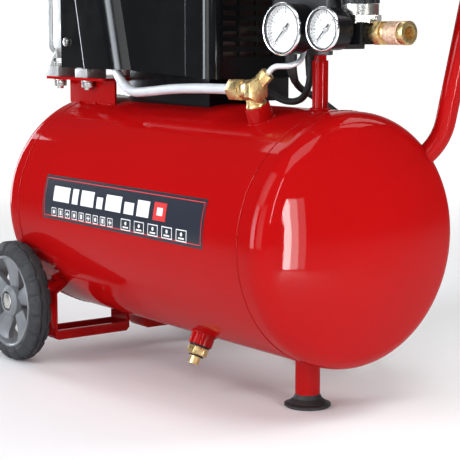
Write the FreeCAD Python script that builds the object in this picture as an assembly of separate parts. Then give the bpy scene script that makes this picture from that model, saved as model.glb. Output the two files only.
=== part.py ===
"""Portable electric air compressor: a 24 litre tank on two wheels and a rubber foot, with a covered
motor and pump on top, a pressure switch with two gauges, a coupler, a pull handle and a mains lead.

Everything is drawn about the tank's centre, with +X from the wheels towards the foot, +Y to the
right of someone who holds the handle and looks at the wheels, and +Z up. write() then moves it
so that the origin is on the floor under the middle of the compressor. Left is the -Y side."""

import FreeCAD, Part
import math
import os

V = FreeCAD.Vector

# Tank
TANK_R = 124.0
TANK_WALL = 2.5
BARREL_HALF = 208.6
END_FLANGE = 13.7
END_DEPTH = 42.0
SEAM_CHAMFER = 0.8
CROWN_R, KNUCKLE_R = 321.8, 25.0
CROWN_FLAT = 2.0
FLOOR_Z = -174.0

# Ports on the barrel: distance along the tank, tilt towards -Y, and the boss's size
BOSS_R = 12.5
VALVE_X, VALVE_TILT, VALVE_BOSS_TOP = 147.0, 23.0, 139.0
DRAIN_X, DRAIN_TILT, DRAIN_BOSS_END = 55.0, 155.0, 136.0
VALVE_THREAD_R, DRAIN_THREAD_R = 7.0, 6.0
THREAD_GAP = 0.1

# Foot, wheels and their brackets
FOOT_X = 161.0
POST_R = 12.5
WHEEL_X, WHEEL_R = -204.0, 68.0
WHEEL_Z = FLOOR_Z + WHEEL_R
RIM_R = 52.0
TYRE_IN, TYRE_OUT = 119.0, 146.0
HUB_RECESS_Y = 138.0
AXLE_R, AXLE_GAP = 6.0, 0.05
BRACKET_X0, BRACKET_X1 = -201.0, -165.0
BRACKET_LEG_Y, SHEET = 103.0, 3.0
LEFT_INNER_Y, RIGHT_INNER_Y = 4.0, 18.0
BRACKET_FLOOR = -150.0

# Handle: one leg from the tank's end, then a cross grip
HANDLE_R = 10.0
HANDLE_WALL = 2.0
HANDLE_Y = 95.0
HANDLE_TOP_Z = 388.0
HANDLE_LEAN = 0.261
HANDLE_ROOT = (226.0, 80.0, 68.0)
HANDLE_FOOT_X, HANDLE_FOOT_Z = 247.912, 95.0
HANDLE_BENDS = (62.0, 55.0)
HANDLE_TOP_X = HANDLE_FOOT_X + HANDLE_LEAN * (HANDLE_TOP_Z - HANDLE_FOOT_Z)
HANDLE_END_Y = -72.0
GRIP_R = 15.0
GRIP_START_Y = 38.0

# Pump and motor, on one shaft axis along X
SHAFT_Z = 208.0
SHAFT_R = 7.5
RUN_GAP = 0.05
CYL_X = -195.0
BORE_R = 23.5
THROW = 20.0
ROD_LENGTH = 65.0
PIN_TOP_Z = SHAFT_Z + THROW + ROD_LENGTH
CASE_X0, CASE_X1 = -243.0, -159.0
CASE_HALF, CASE_Z0, CASE_Z1 = 56.0, 170.0, 262.0
CASE_WALL = 6.0
DECK_Z = 309.0
HEAD_TOP_Z = 334.0
OUTLET_Y, OUTLET_Z = -10.0, 321.5
FOOT_TOPS = (158.0, 156.0)
MOTOR_R, MOTOR_END_X = 53.0, -10.0
STATOR_R, ROTOR_R = 49.8, 27.4
STACK_X0, STACK_X1 = -130.0, -40.0

# Pump bracket
PLATE_Z0, PLATE_Z1 = 143.0, 146.0
PLATE_X0, PLATE_X1, PLATE_HALF = -258.0, -130.0, 60.0
PLATE_CORNER_R = 6.0
BOLT_Y = 50.0
BOLT_XS = (-238.0, -175.0)
BOLT_R = 4.0

# Cover over the motor and pump
COVER_WALL = 2.5
COVER_X0, COVER_HOOD_X0, COVER_X1 = -218.0, -244.0, 75.0
COVER_HALF, COVER_PANEL_HALF, COVER_SWELL_HALF = 60.0, 57.0, 69.0
COVER_PANEL_X0, COVER_PANEL_X1 = -150.0, 31.0
COVER_TOP_Z, COVER_MOTOR_TOP_Z = 346.0, 284.0
COVER_BOTTOM_Z, COVER_END_BOTTOM_Z = 157.0, 151.0
HOOD_STEP_Z = 262.0
SWELL_Z0, SWELL_Z1, SWELL_TOP_Z, SWELL_LEAN = 150.0, 320.0, 318.0, 0.27
VENT_Z, VENT_PITCH, VENT_ROWS, VENT_HEIGHT = 175.5, 10.3, 10, 5.0
VENT_POSTS, VENT_REACH = (-22.0, 0.0, 22.0), 42.0
VENT_POST = 2.6

# Control head on the riser pipe, turned a little about the pipe
RISER_X = 177.0
RISER_R, NECK_R, RISER_BORE_R = 7.8, 5.9, 3.5
NECK_Z = 171.0
HEAD_TURN = 6.5
GAUGE_Z = 201.0
BIG_GAUGE = dict(x=-4.7, face=-49.8, back=-26.0, radius=25.0, wall_y=-22.0)
SMALL_GAUGE = dict(x=54.9, face=-56.6, back=-33.0, radius=20.5, wall_y=-29.1)
BASE_Z0, BASE_Z1 = 182.0, 210.0
SWITCH_TOP_Z = 292.0
COUPLER_Y, COUPLER_Z = -12.0, 197.5
COUPLER_X0, COUPLER_X1 = 78.6, 122.0
COUPLER_BORE_R = 6.35
SLEEVE_X0 = COUPLER_X1 - 24.5
REGULATOR_X, REGULATOR_Y = 62.0, -12.0
LEAD_R = 3.5
MAINS_GLAND, MOTOR_GLAND = (-32.0, -8.0), (-22.0, 9.0)
GLAND_TOP, GLAND_BOTTOM = BASE_Z0, 178.0

# Pipes and leads, as points of their routes
DISCHARGE_R, UNLOADER_R = 5.0, 2.75
VALVE_Y, VALVE_Z = -60.5, 142.7
NUT_X0, NUT_X1, VALVE_END_X = 117.5, 136.0, 158.0
UNION_START, UNION_WAY, UNION_LENGTH = V(147.5, -57.5, 144.5), V(0.6184, 0.3192, 0.7182), 20.5
DISCHARGE_ROUTE = [
    (NUT_X0 - 0.5, VALVE_Y, VALVE_Z), (68.0, -60.5, 142.0), (15.0, -60.5, 140.0), (-32.0, -60.5, 135.5),
    (-66.0, -60.5, 133.0), (-92.0, -60.5, 146.0), (-108.0, -60.3, 174.0), (-119.0, -60.0, 222.0),
    (-131.0, -58.5, 270.0), (-135.0, -50.0, 299.0), (-136.0, -32.0, 316.0), (-141.0, -14.0, 321.3),
    (-154.9, OUTLET_Y, OUTLET_Z),
]
UNLOADER_ROUTE = [
    tuple(UNION_START + UNION_WAY * (UNION_LENGTH - 0.5)), tuple(UNION_START + UNION_WAY * 29.5),
    (179.7, -40.0, 166.4), (181.9, -32.0, 169.0), (176.3, -22.0, 173.5), (173.6, -17.5, 181.9),
]
MOTOR_LEAD_ROUTE = [
    (154.1, 6.5, 178.0), (154.1, 6.5, 160.0), (151.5, 6.6, 145.0), (142.5, 7.0, 133.2),
    (128.0, 8.0, 128.9), (110.0, 10.5, 128.7), (92.0, 14.0, 131.5), (72.1, 17.0, 137.0),
]
MAINS_ROUTE = [
    (146.1, -11.6, 178.0), (146.1, -11.6, 168.0), (144.7, -8.6, 157.5), (142.1, -3.0, 149.6),
    (138.5, 5.0, 144.0), (134.0, 14.5, 140.2), (129.4, 25.0, 136.8), (125.0, 40.0, 130.6),
    (121.0, 59.0, 122.0), (118.0, 80.0, 109.5), (115.0, 101.0, 91.0), (112.0, 119.0, 66.0),
    (109.0, 131.0, 36.0), (105.0, 136.5, 3.0), (100.0, 139.0, -32.0), (93.0, 143.5, -68.0),
    (83.0, 152.0, -104.0), (68.0, 166.0, -135.0), (47.0, 184.5, -157.0), (21.0, 202.0, -167.6),
    (-8.0, 217.0, -170.3), (-33.0, 229.0, -170.3),
]
COIL_X, COIL_Y = -58.9, 183.9
COIL_IN, COIL_OUT, COIL_HEIGHT = 26.3, 54.7, 13.6
TAIL_Y = 137.7
TAIL_ROUTE = [
    (-45.0, TAIL_Y, -165.0), (-33.0, TAIL_Y, -161.5), (-20.5, TAIL_Y, -156.4), (-8.0, TAIL_Y, -155.0),
]
PLUG_X0, PLUG_Z = -8.0, -155.0

# The origin goes under the middle of the overall length
ORIGIN_X = (HANDLE_TOP_X + GRIP_R + WHEEL_X - WHEEL_R) / 2


def box(x0, x1, y0, y1, z0, z1):
    return Part.makeBox(x1 - x0, y1 - y0, z1 - z0, V(x0, y0, z0))


def rod(base, axis, radius, length):
    return Part.makeCylinder(radius, length, V(*base), V(*axis))


def ring(base, axis, outer, inner, length):
    return rod(base, axis, outer, length).cut(rod(base, axis, inner, length))


def prism(points, along):
    corners = [V(*p) for p in points]
    return Part.Face(Part.makePolygon(corners + corners[:1])).extrude(V(*along))


def aim(shape, base, axis):
    """Moves a shape drawn about +Z so that it stands on base along axis."""
    shape.Placement = FreeCAD.Placement(V(*base), FreeCAD.Rotation(V(0, 0, 1), V(*axis)))
    return shape.copy()


def turned(profile, base, axis):
    """Turns an outline of (radius, distance along the axis) points about the axis."""
    corners = [V(r, 0, s) for r, s in profile]
    face = Part.Face(Part.makePolygon(corners + corners[:1]))
    return aim(face.revolve(V(0, 0, 0), V(0, 0, 1), 360), base, axis)


def hexagon(base, axis, across_flats, length, spin=0.0):
    reach = across_flats / math.sqrt(3)
    angles = [math.radians(60 * i + spin) for i in range(6)]
    corners = [(reach * math.cos(a), reach * math.sin(a), 0) for a in angles]
    return aim(prism(corners, (0, 0, length)), base, axis)


def rounded_box(x0, x1, y0, y1, z0, z1, radius, along):
    """A box with the four edges that run along one axis rounded."""
    block = box(x0, x1, y0, y1, z0, z1)
    edges = [e for e in block.Edges if abs(e.tangentAt(e.FirstParameter).dot(V(*along))) > 0.99]
    return block.makeFillet(radius, edges)


def joined(first, *others):
    return first.multiFuse(list(others)).removeSplitter()


def mirrored(shape):
    return shape.mirror(V(0, 0, 0), V(0, 1, 0))


def radial(tilt):
    """The direction out of the tank, tilted from straight up towards -Y."""
    a = math.radians(tilt)
    return (0.0, -math.sin(a), math.cos(a))


def out_at(x, tilt, distance):
    d = radial(tilt)
    return (x, d[1] * distance, d[2] * distance)


def tank_solid():
    return rod((-300, 0, 0), (1, 0, 0), TANK_R, 600)


def route_wire(points, name):
    """Straight runs joined by tangent arcs, each as large as its two runs allow."""
    corners = [V(*p) for p in points]
    edges = []
    here = corners[0]
    radii = []
    for before, corner, after in zip(corners, corners[1:], corners[2:]):
        back = (before - corner).normalize()
        on = (after - corner).normalize()
        half_turn = (math.pi - back.getAngle(on)) / 2
        shorter = min((before - corner).Length, (after - corner).Length)
        trim = 0.45 * shorter
        radius = trim / math.tan(half_turn)
        radii.append(round(radius))
        start = corner + back * trim
        end = corner + on * trim
        middle_way = (back + on).normalize()
        middle = corner + middle_way * (radius / math.cos(half_turn) - radius)
        edges.append(Part.LineSegment(here, start).toShape())
        edges.append(Part.Arc(start, middle, end).toShape())
        here = end
    edges.append(Part.LineSegment(here, corners[-1]).toShape())
    wire = Part.Wire(edges)
    print(f"{name}: length {wire.Length:.0f}, bend radii {radii}")
    return wire


def swept(wire, radius):
    start = wire.OrderedEdges[0]
    heading = start.tangentAt(start.FirstParameter)
    circle = Part.Wire(Part.makeCircle(radius, start.valueAt(start.FirstParameter), heading))
    return wire.makePipeShell([circle], True, False)


def tube_along(points, radius, name):
    wire = route_wire(points, name)
    tube = swept(wire, radius)
    expected = math.pi * radius ** 2 * wire.Length
    print(f"{name}: volume {tube.Volume / expected:.4f} of section times length")
    return tube


# ---------------------------------------------------------------- tank

def tank_barrel():
    inner = TANK_R - TANK_WALL
    low = -BARREL_HALF
    high = BARREL_HALF
    profile = [(inner, low), (TANK_R - SEAM_CHAMFER, low), (TANK_R, low + SEAM_CHAMFER),
               (TANK_R, high - SEAM_CHAMFER), (TANK_R - SEAM_CHAMFER, high), (inner, high)]
    shell = turned(profile, (0, 0, 0), (1, 0, 0))
    for x, tilt, top, hole in ((VALVE_X, VALVE_TILT, VALVE_BOSS_TOP, VALVE_THREAD_R),
                               (DRAIN_X, DRAIN_TILT, DRAIN_BOSS_END, DRAIN_THREAD_R)):
        start = TANK_R - 1.5
        shell = shell.fuse(rod(out_at(x, tilt, start), radial(tilt), BOSS_R, top - start))
        shell = shell.cut(rod(out_at(x, tilt, 100), radial(tilt), hole + THREAD_GAP, 60))
    return shell.cut(rod((RISER_X, 0, 100), (0, 0, 1), 4.0, 40))


def end_curve(shell_in):
    """Half of an end's outline, from the flange to the middle: the knuckle's arc, then the crown's."""
    bend = BARREL_HALF + END_FLANGE
    knuckle = KNUCKLE_R - shell_in
    crown = CROWN_R - shell_in
    crown_x = bend + END_DEPTH - CROWN_R
    knuckle_y = TANK_R - KNUCKLE_R
    meet = math.atan2(knuckle_y, bend - crown_x)
    half = meet / 2
    corner = V(bend + knuckle * math.cos(meet), 0, knuckle_y + knuckle * math.sin(meet))
    lean = (meet + math.pi / 2) / 2
    bulge = V(bend + knuckle * math.cos(lean), 0, knuckle_y + knuckle * math.sin(lean))
    rise = V(crown_x + crown * math.cos(half), 0, crown * math.sin(half))
    tip_x = crown_x + math.sqrt(crown ** 2 - CROWN_FLAT ** 2)
    return [Part.Arc(V(bend, 0, TANK_R - shell_in), bulge, corner).toShape(),
            Part.Arc(corner, rise, V(tip_x, 0, CROWN_FLAT)).toShape(),
            Part.makeLine(V(tip_x, 0, CROWN_FLAT), V(tip_x, 0, 0))]


def revolved_face(edges):
    face = Part.Face(Part.Wire(Part.__sortEdges__(edges)))
    return face.revolve(V(0, 0, 0), V(1, 0, 0), 360)


def tank_end():
    """A pressed end: a short straight flange, a knuckle and a shallow crown."""
    start = BARREL_HALF
    bend = BARREL_HALF + END_FLANGE
    inner = TANK_R - TANK_WALL
    corners = [V(bend, 0, inner), V(start, 0, inner), V(start, 0, TANK_R - SEAM_CHAMFER),
               V(start + SEAM_CHAMFER, 0, TANK_R), V(bend, 0, TANK_R)]
    flange = [Part.makeLine(p, q) for p, q in zip(corners, corners[1:])]
    outside = end_curve(0)
    inside = end_curve(TANK_WALL)
    middle = Part.makeLine(inside[-1].Vertexes[-1].Point, outside[-1].Vertexes[-1].Point)
    return revolved_face(flange + outside + [middle] + inside)


def tank_end_volume():
    """The space that a closed end fills, to trim what is welded to it."""
    bend = BARREL_HALF + END_FLANGE
    outside = end_curve(0)
    tip = outside[-1].Vertexes[-1].Point
    middle = V(bend, 0, 0)
    return revolved_face(outside + [Part.makeLine(tip, middle), Part.makeLine(middle, V(bend, 0, TANK_R))])


def foot_post():
    bottom = FLOOR_Z + 12.9
    tube = ring((FOOT_X, 0, bottom), (0, 0, 1), POST_R, POST_R - 2, 70)
    plate = rod((FOOT_X, 0, bottom), (0, 0, 1), POST_R - 0.5, 2)
    return tube.fuse(plate).cut(tank_solid())


def rubber_foot():
    profile = [(0, 0), (22, 0), (23.5, 1.2), (23.5, 3.0), (19.5, 4.4), (14.6, 8.6), (12.4, 12.9), (0, 12.9)]
    return turned(profile, (FOOT_X, 0, FLOOR_Z), (0, 0, 1))


# ---------------------------------------------------------------- wheels

def wheel_bracket(inner):
    """A folded strip on the +Y side: outer leg with the axle's ear, floor with lips, and inner leg."""
    x0, x1 = BRACKET_X0, BRACKET_X1
    width = (x1 - x0, 0, 0)
    outer = BRACKET_LEG_Y
    low = BRACKET_FLOOR
    outline = [
        (outer - 4, low), (outer, low + 4), (outer, -95), (80, -78), (78, -81), (outer - SHEET, -96.5),
        (outer - SHEET, low + 4.5), (outer - 4.5, low + SHEET), (inner + 4.5, low + SHEET),
        (inner + SHEET, low + 4.5), (inner + SHEET, -110), (inner, -110), (inner, low + 4), (inner + 4, low),
    ]
    strip = prism([(x0, y, z) for y, z in outline], width)
    lips = [box(x, x + SHEET, inner + SHEET, outer - SHEET, low + SHEET, low + SHEET + 8)
            for x in (x0, x1 - SHEET)]
    ear_outline = ((x0 + 1, -140), (x0 - 16, -124), (x0 - 16, -97), (x0 + 1, -97))
    ear = prism([(x, outer - SHEET, z) for x, z in ear_outline], (0, SHEET, 0))
    bracket = joined(strip, ear, *lips).cut(tank_solid())
    return bracket.cut(rod((WHEEL_X, 85, WHEEL_Z), (0, 1, 0), AXLE_R + 0.1, 40))


def axle_fasteners():
    """On each side a shoulder bolt with its head sunk in the hub, and a nut inside the bracket."""
    y = BRACKET_LEG_Y
    tail = y - 14
    head_y = HUB_RECESS_Y + 0.25
    shank = rod((WHEEL_X, tail, WHEEL_Z), (0, 1, 0), AXLE_R, head_y + 1 - tail)
    collar = rod((WHEEL_X, y, WHEEL_Z), (0, 1, 0), 8.5, 2.7)
    head = hexagon((WHEEL_X, head_y, WHEEL_Z), (0, 1, 0), 17, 5.5)
    bolt = joined(shank, collar, head)
    nut = hexagon((WHEEL_X, y - SHEET - 7.9, WHEEL_Z), (0, 1, 0), 16, 7.8, 30)
    nut = nut.cut(rod((WHEEL_X, y - 20, WHEEL_Z), (0, 1, 0), AXLE_R + RUN_GAP, 20))
    return Part.makeCompound([bolt, nut, mirrored(bolt), mirrored(nut)])


def wheel_rim():
    """Hub, five broad spokes and a deep outer band, with a bore for the axle bolt."""
    y0, y1 = TYRE_IN + 1.5, TYRE_OUT - 1.5
    hub_in = BRACKET_LEG_Y + 3
    band = ring((WHEEL_X, y0, WHEEL_Z), (0, 1, 0), RIM_R, RIM_R - 3, y1 - y0)
    hub = rod((WHEEL_X, hub_in, WHEEL_Z), (0, 1, 0), 15, y1 - hub_in)
    spoke = box(WHEEL_X - 9, WHEEL_X + 9, y1 - 13, y1 - 5, WHEEL_Z, WHEEL_Z + RIM_R - 1.5)
    spokes = []
    for i in range(5):
        turned_spoke = spoke.copy()
        turned_spoke.rotate(V(WHEEL_X, 0, WHEEL_Z), V(0, 1, 0), 72 * i)
        spokes.append(turned_spoke)
    rim = joined(band, hub, *spokes)
    rim = rim.cut(rod((WHEEL_X, 90, WHEEL_Z), (0, 1, 0), AXLE_R + AXLE_GAP, 70))
    return rim.cut(rod((WHEEL_X, HUB_RECESS_Y, WHEEL_Z), (0, 1, 0), 11, 20))


def tyre():
    width = TYRE_OUT - TYRE_IN
    profile = [(RIM_R + RUN_GAP, 1.5), (RIM_R + 3, 0), (WHEEL_R - 7, 1.0), (WHEEL_R - 2, 4.0), (WHEEL_R, 8.5),
               (WHEEL_R, width - 8.5), (WHEEL_R - 2, width - 4.0), (WHEEL_R - 7, width - 1.0),
               (RIM_R + 3, width), (RIM_R + RUN_GAP, width - 1.5)]
    return turned(profile, (WHEEL_X, TYRE_IN, WHEEL_Z), (0, 1, 0))


# ---------------------------------------------------------------- handle

def handle_wire():
    """The tube's centre line: out of the tank's end, up and outwards, then across to -Y."""
    foot = (HANDLE_FOOT_X, HANDLE_Y, HANDLE_FOOT_Z)
    top = (HANDLE_TOP_X, HANDLE_Y, HANDLE_TOP_Z)
    corners = [V(*HANDLE_ROOT), V(*foot), V(*top), V(HANDLE_TOP_X, HANDLE_END_Y, HANDLE_TOP_Z)]
    edges = []
    here = corners[0]
    for (before, corner, after), radius in zip(zip(corners, corners[1:], corners[2:]), HANDLE_BENDS):
        back = (before - corner).normalize()
        on = (after - corner).normalize()
        half_turn = (math.pi - back.getAngle(on)) / 2
        trim = radius * math.tan(half_turn)
        start = corner + back * trim
        end = corner + on * trim
        middle = corner + (back + on).normalize() * (radius / math.cos(half_turn) - radius)
        edges.append(Part.LineSegment(here, start).toShape())
        edges.append(Part.Arc(start, middle, end).toShape())
        here = end
    edges.append(Part.LineSegment(here, corners[-1]).toShape())
    return Part.Wire(edges)


def handle_tube():
    wire = handle_wire()
    tube = swept(wire, HANDLE_R).cut(swept(wire, HANDLE_R - HANDLE_WALL))
    barrel_zone = tank_solid().common(box(150, BARREL_HALF + END_FLANGE, -130, 130, -130, 130))
    return tube.cut(barrel_zone).cut(tank_end_volume())


def handle_grip():
    """A soft sleeve over the cross tube, closed over the tube's end."""
    start = GRIP_START_Y
    end = HANDLE_END_Y
    length = start - end + 4.0
    bore = HANDLE_R + RUN_GAP
    profile = [(bore, 0), (12.5, 0), (GRIP_R, 4), (GRIP_R, length - 6), (11, length), (0, length),
               (0, length - 3.8), (bore, length - 3.8)]
    return turned(profile, (HANDLE_TOP_X, start, HANDLE_TOP_Z), (0, -1, 0))


# ---------------------------------------------------------------- pump

def pump_bracket():
    """A red bridge over the tank: a top plate on two side skirts, rounded where they end."""
    plate = box(PLATE_X0, PLATE_X1, -PLATE_HALF, PLATE_HALF, PLATE_Z0, PLATE_Z1)
    skirt = box(-228, PLATE_X1, 40, 43, 100, PLATE_Z0)
    corners = [e for e in plate.Edges if abs(e.tangentAt(e.FirstParameter).z) > 0.99]
    plate = plate.makeFillet(PLATE_CORNER_R, corners)
    bracket = joined(plate, skirt, mirrored(skirt)).cut(tank_solid())
    for x in BOLT_XS:
        for y in (-BOLT_Y, BOLT_Y):
            bracket = bracket.cut(rod((x, y, 120), (0, 0, 1), BOLT_R + 0.2, 40))
    return bracket


def mount_bolts():
    solids = []
    for x, top in zip(BOLT_XS, FOOT_TOPS):
        shank = rod((x, BOLT_Y, 132), (0, 0, 1), BOLT_R, top - 132)
        head = hexagon((x, BOLT_Y, top), (0, 0, 1), 13, 5)
        washer = ring((x, BOLT_Y, PLATE_Z0 - 1.6), (0, 0, 1), 8, BOLT_R + RUN_GAP, 1.5)
        nut = hexagon((x, BOLT_Y, PLATE_Z0 - 8.2), (0, 0, 1), 13, 6.5)
        nut = nut.cut(rod((x, BOLT_Y, 120), (0, 0, 1), BOLT_R + RUN_GAP, 40))
        washer = washer.common(box(x - 10, x + 10, 43.1, 65, 130, 150))
        for solid in (shank.fuse(head).removeSplitter(), washer, nut):
            solids += [solid, mirrored(solid)]
    return Part.makeCompound(solids)


def case_section(x0, x1, inset, radius):
    return rounded_box(x0, x1, -CASE_HALF + inset, CASE_HALF - inset, CASE_Z0 + inset, CASE_Z1 - inset,
                       radius, (1, 0, 0))


def crankcase():
    """The cast housing, open at the left, with a bearing wall at the right and four feet."""
    body = case_section(CASE_X0, CASE_X1, 0, 14)
    cavity = case_section(CASE_X0 - 1, CASE_X1 - CASE_WALL, 5, 10)
    feet = []
    for x0, x1, top in ((-257, -227, FOOT_TOPS[0]), (-189, -162, FOOT_TOPS[1])):
        foot = box(x0, x1, 34, 59, PLATE_Z1 + 0.01, top)
        column = box(max(x0, CASE_X0), min(x1, CASE_X1), 34, 50, top - 2, CASE_Z0 + 6)
        feet += [foot, column]
    gusset = prism([(-257, 50, 157), (-236, 50, 157), (-236, 50, 178), (CASE_X0, 50, 174)], (0, 5, 0))
    feet.append(gusset.common(box(-260, CASE_X0 + 20, 40, 60, 150, 180)))
    housing = body.multiFuse(feet + [mirrored(f) for f in feet]).removeSplitter()
    housing = housing.cut(cavity)
    housing = housing.cut(box(-262, CASE_X0, -60, 60, CASE_Z0, 200))
    housing = housing.cut(rod((CYL_X, 0, 240), (0, 0, 1), BORE_R + 1, 40))
    housing = housing.cut(rod((CASE_X1 - 10, 0, SHAFT_Z), (1, 0, 0), 16 + RUN_GAP, 20))
    for x, top in zip(BOLT_XS, FOOT_TOPS):
        for y in (-BOLT_Y, BOLT_Y):
            housing = housing.cut(rod((x, y, 140), (0, 0, 1), BOLT_R + 0.2, 25))
            housing = housing.cut(rod((x, y, top), (0, 0, 1), 9, 9))
    for x, z in cover_screw_places():
        for y in (-1, 1):
            housing = housing.cut(rod((x, y * 49, z), (0, y, 0), 2.6, 12))
    return housing


def crankcase_gasket():
    sheet = case_section(CASE_X0 - 2.5, CASE_X0, 1.5, 13)
    return sheet.cut(case_section(CASE_X0 - 3, CASE_X0 + 1, 6, 10))


def crankcase_cover():
    plate = case_section(CASE_X0 - 13, CASE_X0 - 2.5, 0, 14)
    rim = [e for e in plate.Edges if abs(e.CenterOfMass.x - (CASE_X0 - 13)) < 0.01]
    plate = plate.makeFillet(2.5, rim)
    return plate.cut(case_section(CASE_X0 - 9, CASE_X0 - 2, 8, 8))


def cylinder():
    barrel = rod((CYL_X, 0, CASE_Z1), (0, 0, 1), 28, DECK_Z - CASE_Z1)
    flange = rounded_box(CYL_X - 34, CYL_X + 34, -34, 34, CASE_Z1, CASE_Z1 + 5, 6, (0, 0, 1))
    deck = rounded_box(CYL_X - 36, CYL_X + 36, -36, 36, DECK_Z - 5, DECK_Z, 6, (0, 0, 1))
    fins = [rod((CYL_X, 0, CASE_Z1 + 8.5 + 5.6 * i), (0, 0, 1), 41, 2) for i in range(6)]
    body = joined(barrel, flange, deck, *fins).cut(rod((CYL_X, 0, 250), (0, 0, 1), BORE_R, 80))
    for x, y in head_bolt_places():
        body = body.cut(rod((x, y, 250), (0, 0, 1), 3.3, 80))
    return body


def head_bolt_places():
    return [(CYL_X + sx * 28, sy * 28) for sx in (-1, 1) for sy in (-1, 1)]


def cylinder_head():
    """The head with its fins, the outlet towards the motor and the inlet towards +Y."""
    block = rounded_box(CYL_X - 38, CYL_X + 38, -38, 38, DECK_Z, DECK_Z + 15, 6, (0, 0, 1))
    fins = [box(CYL_X - 33, CYL_X + 33, y, y + 2.5, DECK_Z + 14, HEAD_TOP_Z) for y in (-13, -4.5, 4.5, 13)]
    outlet = rod((CYL_X + 30, OUTLET_Y, OUTLET_Z), (1, 0, 0), 9, 8)
    outlet = outlet.fuse(box(CYL_X + 24, CYL_X + 38, OUTLET_Y - 9, OUTLET_Y + 9, 318, 330.5))
    head = joined(block, outlet, *fins)
    head = head.cut(rod((CYL_X + 26, OUTLET_Y, OUTLET_Z), (1, 0, 0), 4, 20))
    head = head.cut(rod((CYL_X, 30, DECK_Z + 8), (0, 1, 0), 5.5, 20))
    for x, y in head_bolt_places():
        head = head.cut(rod((x, y, DECK_Z - 1), (0, 0, 1), 3.3, 30))
    return head


def head_bolts():
    solids = []
    for x, y in head_bolt_places():
        shank = rod((x, y, CASE_Z1 + 0.05), (0, 0, 1), 3, DECK_Z + 15.1 - CASE_Z1)
        head = hexagon((x, y, DECK_Z + 15.1), (0, 0, 1), 10, 5)
        solids.append(shank.fuse(head).removeSplitter())
    return Part.makeCompound(solids)


def piston():
    """The piston at the top of its stroke, with the wrist pin."""
    z0 = PIN_TOP_Z - 9
    crown = PIN_TOP_Z + 15
    body = rod((CYL_X, 0, z0), (0, 0, 1), BORE_R - RUN_GAP, crown - z0)
    body = body.cut(rod((CYL_X, 0, z0 - 1), (0, 0, 1), 19, crown - 4 - z0))
    for z in (crown - 3.5, crown - 7.5):
        groove = ring((CYL_X, 0, z), (0, 0, 1), BORE_R + 1, BORE_R - 1.0, 1.2)
        body = body.cut(groove)
    pin = rod((CYL_X - 21, 0, PIN_TOP_Z), (1, 0, 0), 5, 42)
    return body.fuse(pin).removeSplitter()


def connecting_rod():
    """Small end round the wrist pin, beam, and big end that carries the crank pin."""
    low = PIN_TOP_Z - ROD_LENGTH
    small = rod((CYL_X - 6, 0, PIN_TOP_Z), (1, 0, 0), 9, 12)
    big = rod((CYL_X - 6, 0, low), (1, 0, 0), 10.5, 12)
    beam = box(CYL_X - 3, CYL_X + 3, -5, 5, low, PIN_TOP_Z)
    pin = rod((CYL_X - 8, 0, low), (1, 0, 0), 5.8, 20)
    body = joined(small, big, beam, pin)
    return body.cut(rod((CYL_X - 10, 0, PIN_TOP_Z), (1, 0, 0), 5 + RUN_GAP, 20))


def crank_disc():
    """Hub, an arm up to the pin hole, and the counterweight below."""
    x0 = CYL_X + 16
    weight = rod((x0, 0, SHAFT_Z), (1, 0, 0), 30, 8).common(box(x0, x0 + 8, -40, 40, 160, SHAFT_Z - 4))
    hub = rod((x0, 0, SHAFT_Z), (1, 0, 0), 14, 8)
    arm = rod((x0, 0, SHAFT_Z + THROW - 1), (1, 0, 0), 9.5, 8)
    web = box(x0, x0 + 8, -9, 9, SHAFT_Z - 5, SHAFT_Z + THROW - 1)
    disc = joined(weight, hub, arm, web)
    disc = disc.cut(rod((x0 - 1, 0, SHAFT_Z), (1, 0, 0), SHAFT_R + RUN_GAP, 10))
    return disc.cut(rod((x0 - 1, 0, SHAFT_Z + THROW), (1, 0, 0), 6.0, 6))


def air_filter():
    """A round intake filter on the +Y side of the head."""
    base_y = 38.05
    profile = [(0, 0), (8, 0), (8, 32.5), (19, 34), (22, 37), (22, 56), (19, 60), (0, 60)]
    return turned(profile, (CYL_X, base_y, DECK_Z + 8), (0, 1, 0))


# ---------------------------------------------------------------- motor

def motor_housing():
    """The motor's can, with its end wall and the bearing seat."""
    can = ring((CASE_X1 + 0.05, 0, SHAFT_Z), (1, 0, 0), MOTOR_R, 50, MOTOR_END_X - CASE_X1)
    wall = rod((MOTOR_END_X - 6, 0, SHAFT_Z), (1, 0, 0), MOTOR_R - 1, 6.05)
    return can.fuse(wall).cut(rod((MOTOR_END_X - 20, 0, SHAFT_Z), (1, 0, 0), 16 + RUN_GAP, 40))


def stator():
    length = STACK_X1 - STACK_X0
    core = ring((STACK_X0, 0, SHAFT_Z), (1, 0, 0), STATOR_R, 28, length)
    coils = [ring((x, 0, SHAFT_Z), (1, 0, 0), 45, 31, 14) for x in (STACK_X0 - 14, STACK_X1)]
    return joined(core, *coils)


def rotor():
    shaft = rod((CYL_X + 16, 0, SHAFT_Z), (1, 0, 0), SHAFT_R, 44 - CYL_X - 16)
    core = rod((STACK_X0, 0, SHAFT_Z), (1, 0, 0), ROTOR_R, STACK_X1 - STACK_X0)
    return shaft.fuse(core).removeSplitter()


def motor_bearings():
    places = (CASE_X1 - CASE_WALL, MOTOR_END_X - 6)
    return Part.makeCompound([ring((x, 0, SHAFT_Z), (1, 0, 0), 16, SHAFT_R + RUN_GAP, 6) for x in places])


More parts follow.
